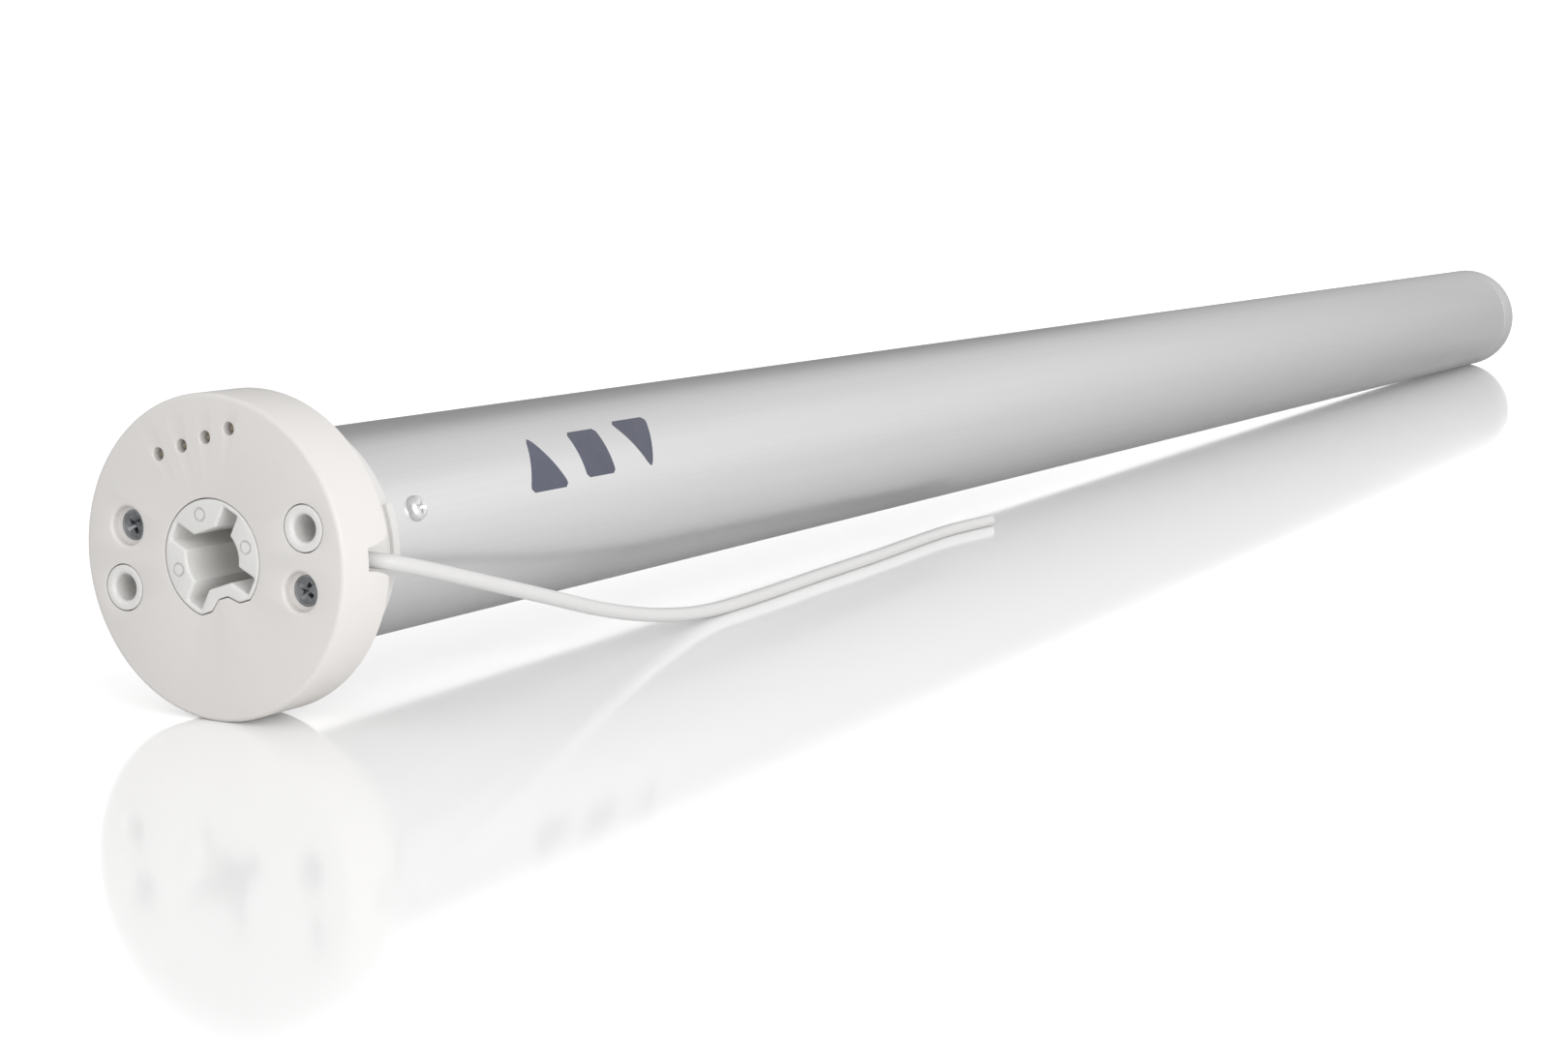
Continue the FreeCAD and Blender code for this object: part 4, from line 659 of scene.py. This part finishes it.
def cross_tool(start, reach, half, depth):
    """A tapered cross recess with a small cone at its middle."""
    sections = [(start - 0.5, cross(reach, half)), (start, cross(reach, half)),
                (start + depth * 0.6, cross(reach * 0.6, half * 0.75)),
                (start + depth, cross(reach * 0.3, half * 0.6))]
    return lofted("cross", sections)


def make_face_screws():
    top = 1.9
    blank = turned("sunk_screw", rounded([
        (top, 0), (top, 2.05), (top + 0.06, 2.12), (top + 0.06, 2.3), (top, 2.37),
        (top, 2.75, 0.14), (top + 0.3, 2.75, 0.1), (top + 1.5, 1.5), (top + 9.5, 1.5, 0.3),
        (top + 9.5, 0)], 3), 72)
    screw = carved("sunk_screw", blank, [cross_tool(top, 1.7, 0.42, 0.95)])
    screw.transform(Matrix.Rotation(math.radians(-14), 4, "X"))
    pair = set_out(screw, 2, (0, SCREW_PLACE[0], SCREW_PLACE[1]),
                   (0, -2 * SCREW_PLACE[0], -2 * SCREW_PLACE[1]), 66)
    finished("sunk_screws", pair, ZINC, "housing", ["face_screws"])


def make_tube_screws():
    """Two pan-head screws, one on each side of the tube."""
    blank = turned("pan_screw", rounded([
        (0, 0), (0, 1.5), (0.45, 2.15, 0.6), (1.42, 2.45, 0.15), (1.58, 2.3), (1.58, 1.38),
        (9.4, 1.38, 0.3), (9.4, 0)], 4), 64)
    screw = carved("pan_screw", blank, [cross_tool(0, 1.35, 0.32, 0.7)])
    screw.transform(Matrix.Rotation(math.radians(12), 4, "X"))
    screw.transform(Matrix.Translation((TUBE_SCREW_AT, TUBE_RADIUS + 1.5, 0))
                    @ Matrix.Rotation(math.radians(-90), 4, "Z"))
    pair = set_out(screw, 2, turn=180)
    finished("pan_screws", pair, CLEAR_ZINC, "housing", ["tube_screws"])


def make_crown():
    """The loose ring behind the head, with low keys around its rear edge."""
    ring = turned("crown", rounded([
        (CROWN_START, CROWN_BORE, 0.2), (CROWN_START, CROWN_RADIUS, 0.5),
        (CROWN_END, CROWN_RADIUS, 0.5), (CROWN_END, CROWN_LIP_BORE, 0.15),
        (CROWN_LIP_START, CROWN_LIP_BORE), (CROWN_LIP_START, CROWN_BORE)], 4), 192)
    # the keys start inside the wall and end just short of its edge, so no two faces coincide
    top = CROWN_RADIUS + KEY_HEIGHT
    foot = CROWN_RADIUS - 1.3
    end = CROWN_END - 0.08
    pad = sector("crown_key", rounded([
        (KEY_START, foot), (KEY_START, top, 0.35), (end, top, 0.35), (end, foot)], 4),
        KEY_HALF_ANGLE)
    pad.transform(Matrix.Rotation(math.radians(KEY_ANGLE), 4, "X"))
    pads = set_out(pad, KEY_COUNT, turn=360 / KEY_COUNT)
    finished("crown_adapter_ring", carved("crown", ring, [pads], "UNION"), CORE_WHITE, "crown",
             ["crown_ring"])


# ---------------------------------------------------------------- tube and dome
def make_tube():
    tube = turned("tube", rounded([
        (TUBE_START, TUBE_BORE, 0.2), (TUBE_START, TUBE_RADIUS, 0.3),
        (TUBE_END, TUBE_RADIUS, 0.12), (TUBE_END, TUBE_BORE, 0.1)], 3), 224)
    finished("anodised_sleeve", tube, TUBE_SATIN, "housing", ["motor_tube"])


def make_dome():
    """The end cap: a rounded nose, a spigot in the tube's end and a sleeve round the shaft."""
    dome = turned("dome", rounded([
        (DOME_START, 6.05, 0.4), (DOME_START, 9.6, 0.4), (785, 9.6, 0.5), (785, 16.35, 0.5),
        (DOME_START, 16.35, 0.3), (DOME_START, 18.95, 0.5), (790.98, 18.95), (790.98, 19.75),
        (791.12, TUBE_RADIUS, 0.1),
        (DOME_END, TUBE_RADIUS, 8.5), (DOME_END, 11.0, 0.3), (797, 11.0, 0.1), (797, 7.0),
        (712, 7.0), (712, 6.05)], 8), 192)
    finished("dome_cap", dome, DOME_SATIN, "housing", ["end_dome"])


def sign_rows(outline, rows=14):
    """A flat convex sign as rows (around, low x, high x), from its outline in (x, around)."""
    low = min(point[1] for point in outline)
    high = max(point[1] for point in outline)
    found = []
    for row in range(rows + 1):
        level = low + (high - low) * min(max(row / rows, 1e-4), 1 - 1e-4)
        crossings = []
        for first, last in zip(outline, outline[1:] + outline[:1]):
            if (first[1] - level) * (last[1] - level) < 0:
                share = (level - first[1]) / (last[1] - first[1])
                crossings.append(first[0] + share * (last[0] - first[0]))
        found.append((level, min(crossings), max(crossings)))
    return found


def make_sign():
    """Plain operating signs printed on the tube: up, stop, down."""
    skin = TUBE_RADIUS + INK_LIFT
    middle = math.radians(SIGN_ANGLE)
    signs = [rounded([(70, -6.2, 0.9), (84, -6.2, 0.9), (77, 6.0, 0.9)]),
             rounded([(90.5, -5.2, 0.9), (101, -5.2, 0.9), (101, 5.2, 0.9), (90.5, 5.2, 0.9)]),
             rounded([(107.5, 6.2, 0.9), (121.5, 6.2, 0.9), (114.5, -6.0, 0.9)])]
    points = []
    faces = []
    for outline in signs:
        rows = sign_rows(outline)
        for around, low, high in rows:
            turn = middle - around / TUBE_RADIUS
            for x in (low, high):
                points.append((x, skin * math.cos(turn), skin * math.sin(turn)))
        base = len(points) - 2 * len(rows)
        for row in range(len(rows) - 1):
            corner = base + 2 * row
            faces.append((corner, corner + 1, corner + 3, corner + 2))
    mesh = mesh_of("sign", points, faces)
    for polygon in mesh.polygons:
        if polygon.normal.dot(Vector((0, polygon.center.y, polygon.center.z))) < 0:
            polygon.flip()
    sign = as_object("sign_sheet", mesh)
    slab = sign.modifiers.new("Ink", "SOLIDIFY")
    slab.thickness = INK_THICKNESS
    slab.offset = -1.0
    done = result_of(sign)
    bpy.data.objects.remove(sign)
    finished("operating_signs", done, SIGN_INK, "housing")


# ---------------------------------------------------------------- lead
# the route of the lead, the same points as the CAD solid's, in metres
LEAD_POINTS = [
    (0.00845, -0.013589, 0.000546), (0.00845, -0.028177, 0.001132),
    (0.0175, -0.0313, -0.001253), (0.0330, -0.0322, -0.005579), (0.0555, -0.0316, -0.011625),
    (0.0800, -0.0296, -0.018349), (0.1040, -0.0273, -0.023179), (0.1280, -0.0246, -0.026109),
    (0.1510, -0.0245, -0.025850), (0.1800, -0.0226, -0.025524), (0.2110, -0.0216, -0.025175),
    (0.2400, -0.0194, -0.024848), (0.2620, -0.0184, -0.024601), (0.2780, -0.0207, -0.024421),
]
LEAD_RADIUS = 0.00145

# the lead's two cores, in millimetres
STRAND_RADIUS = 0.14
STRAND_SPACING = 0.3
CORE_OFFSET = 0.62


def make_lead():
    """The free lead, one smooth curve from the head's clamp to its bare end."""
    curve = bpy.data.curves.new("supply_lead", "CURVE")
    curve.dimensions = "3D"
    line = curve.splines.new("NURBS")
    line.points.add(len(LEAD_POINTS) - 1)
    for point, place in zip(line.points, LEAD_POINTS):
        point.co = place + (1.0,)
    line.order_u = 3
    line.use_endpoint_u = True
    line.resolution_u = 16
    curve.bevel_depth = LEAD_RADIUS
    curve.bevel_resolution = 8
    curve.use_fill_caps = True
    curve.materials.append(LEAD_WHITE)
    lead = as_object("supply_lead", curve)
    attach(lead, "housing")
    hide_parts("supply_cord")
    ends = make_lead_ends()


def make_lead_ends():
    """The two stranded copper cores, cut flush with the jacket at the lead's bare end."""
    end = Vector(LEAD_POINTS[-1]) / MM
    ahead = (end - Vector(LEAD_POINTS[-2]) / MM).normalized()
    strand = turned("strand", rounded([
        (-1.2, 0), (-1.2, STRAND_RADIUS), (0.05, STRAND_RADIUS, 0.03), (0.05, 0)], 2), 12)
    ring = set_out(moved(strand, Matrix.Translation((0, STRAND_SPACING, 0))), 6, turn=60)
    core = joined("core", [strand, ring])
    pair = set_out(core, 2, (0, 0, CORE_OFFSET), (0, 0, -2 * CORE_OFFSET))
    upright = LAY.inverted() @ Matrix.Scale(MM, 4) @ Matrix.Translation(end)
    pair.transform(upright @ ahead.to_track_quat("X", "Z").to_matrix().to_4x4())
    return finished("lead_strands", pair, COPPER, "housing")


make_cover()
make_star_insert()
make_bushes()
make_face_screws()
make_tube_screws()
make_crown()
make_tube()
make_dome()
make_sign()
make_lead()


# ---------------------------------------------------------------- studio
# The motor lies on the head's rim and the dome, so the table leans a little from the motor's axis.
TABLE_SPAN = 799.5
TABLE_LEAN = math.atan((HEAD_RADIUS - TUBE_RADIUS) / TABLE_SPAN)
TABLE_REACH = 30.0
TABLE_EDGES = 64


def seen_or_lighting(add, feed, lighting, seen):
    """One shader where a surface is looked at, and another for the light that it gives."""
    blend = add("ShaderNodeMixShader")
    feed(blend, 0, add("ShaderNodeLightPath").outputs["Is Camera Ray"])
    feed(blend, 1, lighting)
    feed(blend, 2, seen)
    return blend.outputs[0]


def make_table():
    """A glossy white table, with painted shade in the light it gives the motor: a duller grey,
    darker still towards +Y.
    """
    material = bpy.data.materials.new("Gloss White Table")
    material.use_nodes = True
    add, feed = wire_up(material.node_tree)
    gloss = material.node_tree.nodes["Principled BSDF"]
    place = add("ShaderNodeTexCoord").outputs["Object"]
    feed(gloss, "Base Color", (0.95, 0.95, 0.95, 1))
    smudge = noise(add, feed, place, 3.0, 3.0)
    feed(gloss, "Roughness", between(add, feed, smudge, 0.3, 0.7, 0.07, 0.11))
    feed(gloss, "IOR", 1.5)
    feed(gloss, "Emission Color", (1, 1, 1, 1))
    feed(gloss, "Emission Strength", 0.10)
    reach = add("ShaderNodeVectorMath", operation="LENGTH")
    feed(reach, 0, place)
    glow = add("ShaderNodeEmission")
    feed(glow, "Color", (1, 1, 1, 1))
    seen = add("ShaderNodeMixShader")
    feed(seen, 0, between(add, feed, reach.outputs["Value"], 1.6, 4.0))
    feed(seen, 1, gloss.outputs[0])
    feed(seen, 2, glow.outputs[0])
    # painted shade: every ray but the camera's sees a plain grey here, 0.95 that falls to 0.35
    # towards +Y, which darkens the motor's underside and its reflections
    dull = add("ShaderNodeBsdfDiffuse")
    across = add("ShaderNodeSeparateXYZ")
    feed(across, 0, place)
    feed(dull, "Color", between(add, feed, across.outputs["Y"], -0.05, 0.15, 0.95, 0.35))
    feed(material.node_tree.nodes["Material Output"], "Surface",
         seen_or_lighting(add, feed, dull.outputs[0], seen.outputs[0]))
    corners = [math.tau * k / TABLE_EDGES for k in range(TABLE_EDGES)]
    mesh = mesh_of("table", [(math.cos(turn) * TABLE_REACH, math.sin(turn) * TABLE_REACH, 0)
                             for turn in corners], [tuple(range(TABLE_EDGES))])
    mesh.transform(Matrix.Translation((0, 0, -HEAD_RADIUS * MM))
                   @ Matrix.Rotation(-TABLE_LEAN, 4, "Y"))
    mesh.materials.append(material)
    table = as_object("table", mesh)
    return table


def make_world():
    """White where it is seen, and nearly as white in what it lights."""
    world = bpy.data.worlds.new("Studio")
    world.use_nodes = True
    bpy.context.scene.world = world
    add, feed = wire_up(world.node_tree)
    world.node_tree.nodes.clear()
    seen = add("ShaderNodeBackground")
    feed(seen, "Color", (1, 1, 1, 1))
    feed(seen, "Strength", 1.0)
    lighting = add("ShaderNodeBackground")
    feed(lighting, "Color", (1, 1, 1, 1))
    way = add("ShaderNodeSeparateXYZ")
    feed(way, 0, add("ShaderNodeTexCoord").outputs["Generated"])
    strength = between(add, feed, way.outputs["Z"], 0.0, 0.42, 0.86, 1.04)
    overhead = between(add, feed, way.outputs["Z"], 0.5, 0.95, 0.0, -0.42)
    beyond = add("ShaderNodeMath", operation="MULTIPLY")
    feed(beyond, 0, between(add, feed, way.outputs["Y"], 0.12, 0.42, 0.0, -0.62))
    feed(beyond, 1, between(add, feed, way.outputs["X"], 0.2, 0.6))
    for part in (overhead, beyond.outputs[0]):
        sum_up = add("ShaderNodeMath", operation="ADD")
        feed(sum_up, 0, strength)
        feed(sum_up, 1, part)
        strength = sum_up.outputs[0]
    feed(lighting, "Strength", strength)
    feed(add("ShaderNodeOutputWorld"), "Surface",
         seen_or_lighting(add, feed, lighting.outputs[0], seen.outputs[0]))


def soft_light(name, place, target, width, height, power, lit_only=None):
    """A wide soft lamp; with lit_only it lights that object and nothing else."""
    light = bpy.data.lights.new(name, "AREA")
    light.shape = "RECTANGLE"
    light.size = width
    light.size_y = height
    light.energy = power
    lamp = bpy.data.objects.new(name, light)
    lamp.location = place
    lamp.rotation_euler = (Vector(target) - Vector(place)).to_track_quat("-Z", "Y").to_euler()
    lamp.visible_camera = False
    bpy.context.scene.collection.objects.link(lamp)
    if lit_only:
        receivers = bpy.data.collections.new(name + " Receivers")
        receivers.objects.link(lit_only)
        lamp.light_linking.receiver_collection = receivers


def make_camera():
    """A camera near the head, looking along the motor from a little above it."""
    camera = bpy.data.cameras.new("Camera")
    camera.lens = 63.0687
    camera.sensor_width = 36.0
    camera.clip_start = 0.01
    camera.clip_end = 100.0
    eye = bpy.data.objects.new("Camera", camera)
    right = Vector((0.48673, -0.87354, 0.00544))
    up = Vector((0.11710, 0.07142, 0.99055))
    back = Vector((-0.86567, -0.48149, 0.13706))
    turn = Matrix((right, up, back)).transposed().to_4x4()
    eye.matrix_world = Matrix.Translation((-0.365183, -0.317245, 0.072431)) @ turn
    bpy.context.scene.collection.objects.link(eye)
    bpy.context.scene.camera = eye


studio_table = make_table()
make_world()
soft_light("Side", (-0.55, -1.6, 0.4), (0.05, 0, 0), 1.2, 0.8, 11)
soft_light("Horizon", (3.6, 1.9, 0.8), (0.6, 0.2, 0.0), 4.4, 1.8, 25, studio_table)
make_camera()
bpy.context.scene.view_settings.view_transform = "Standard"
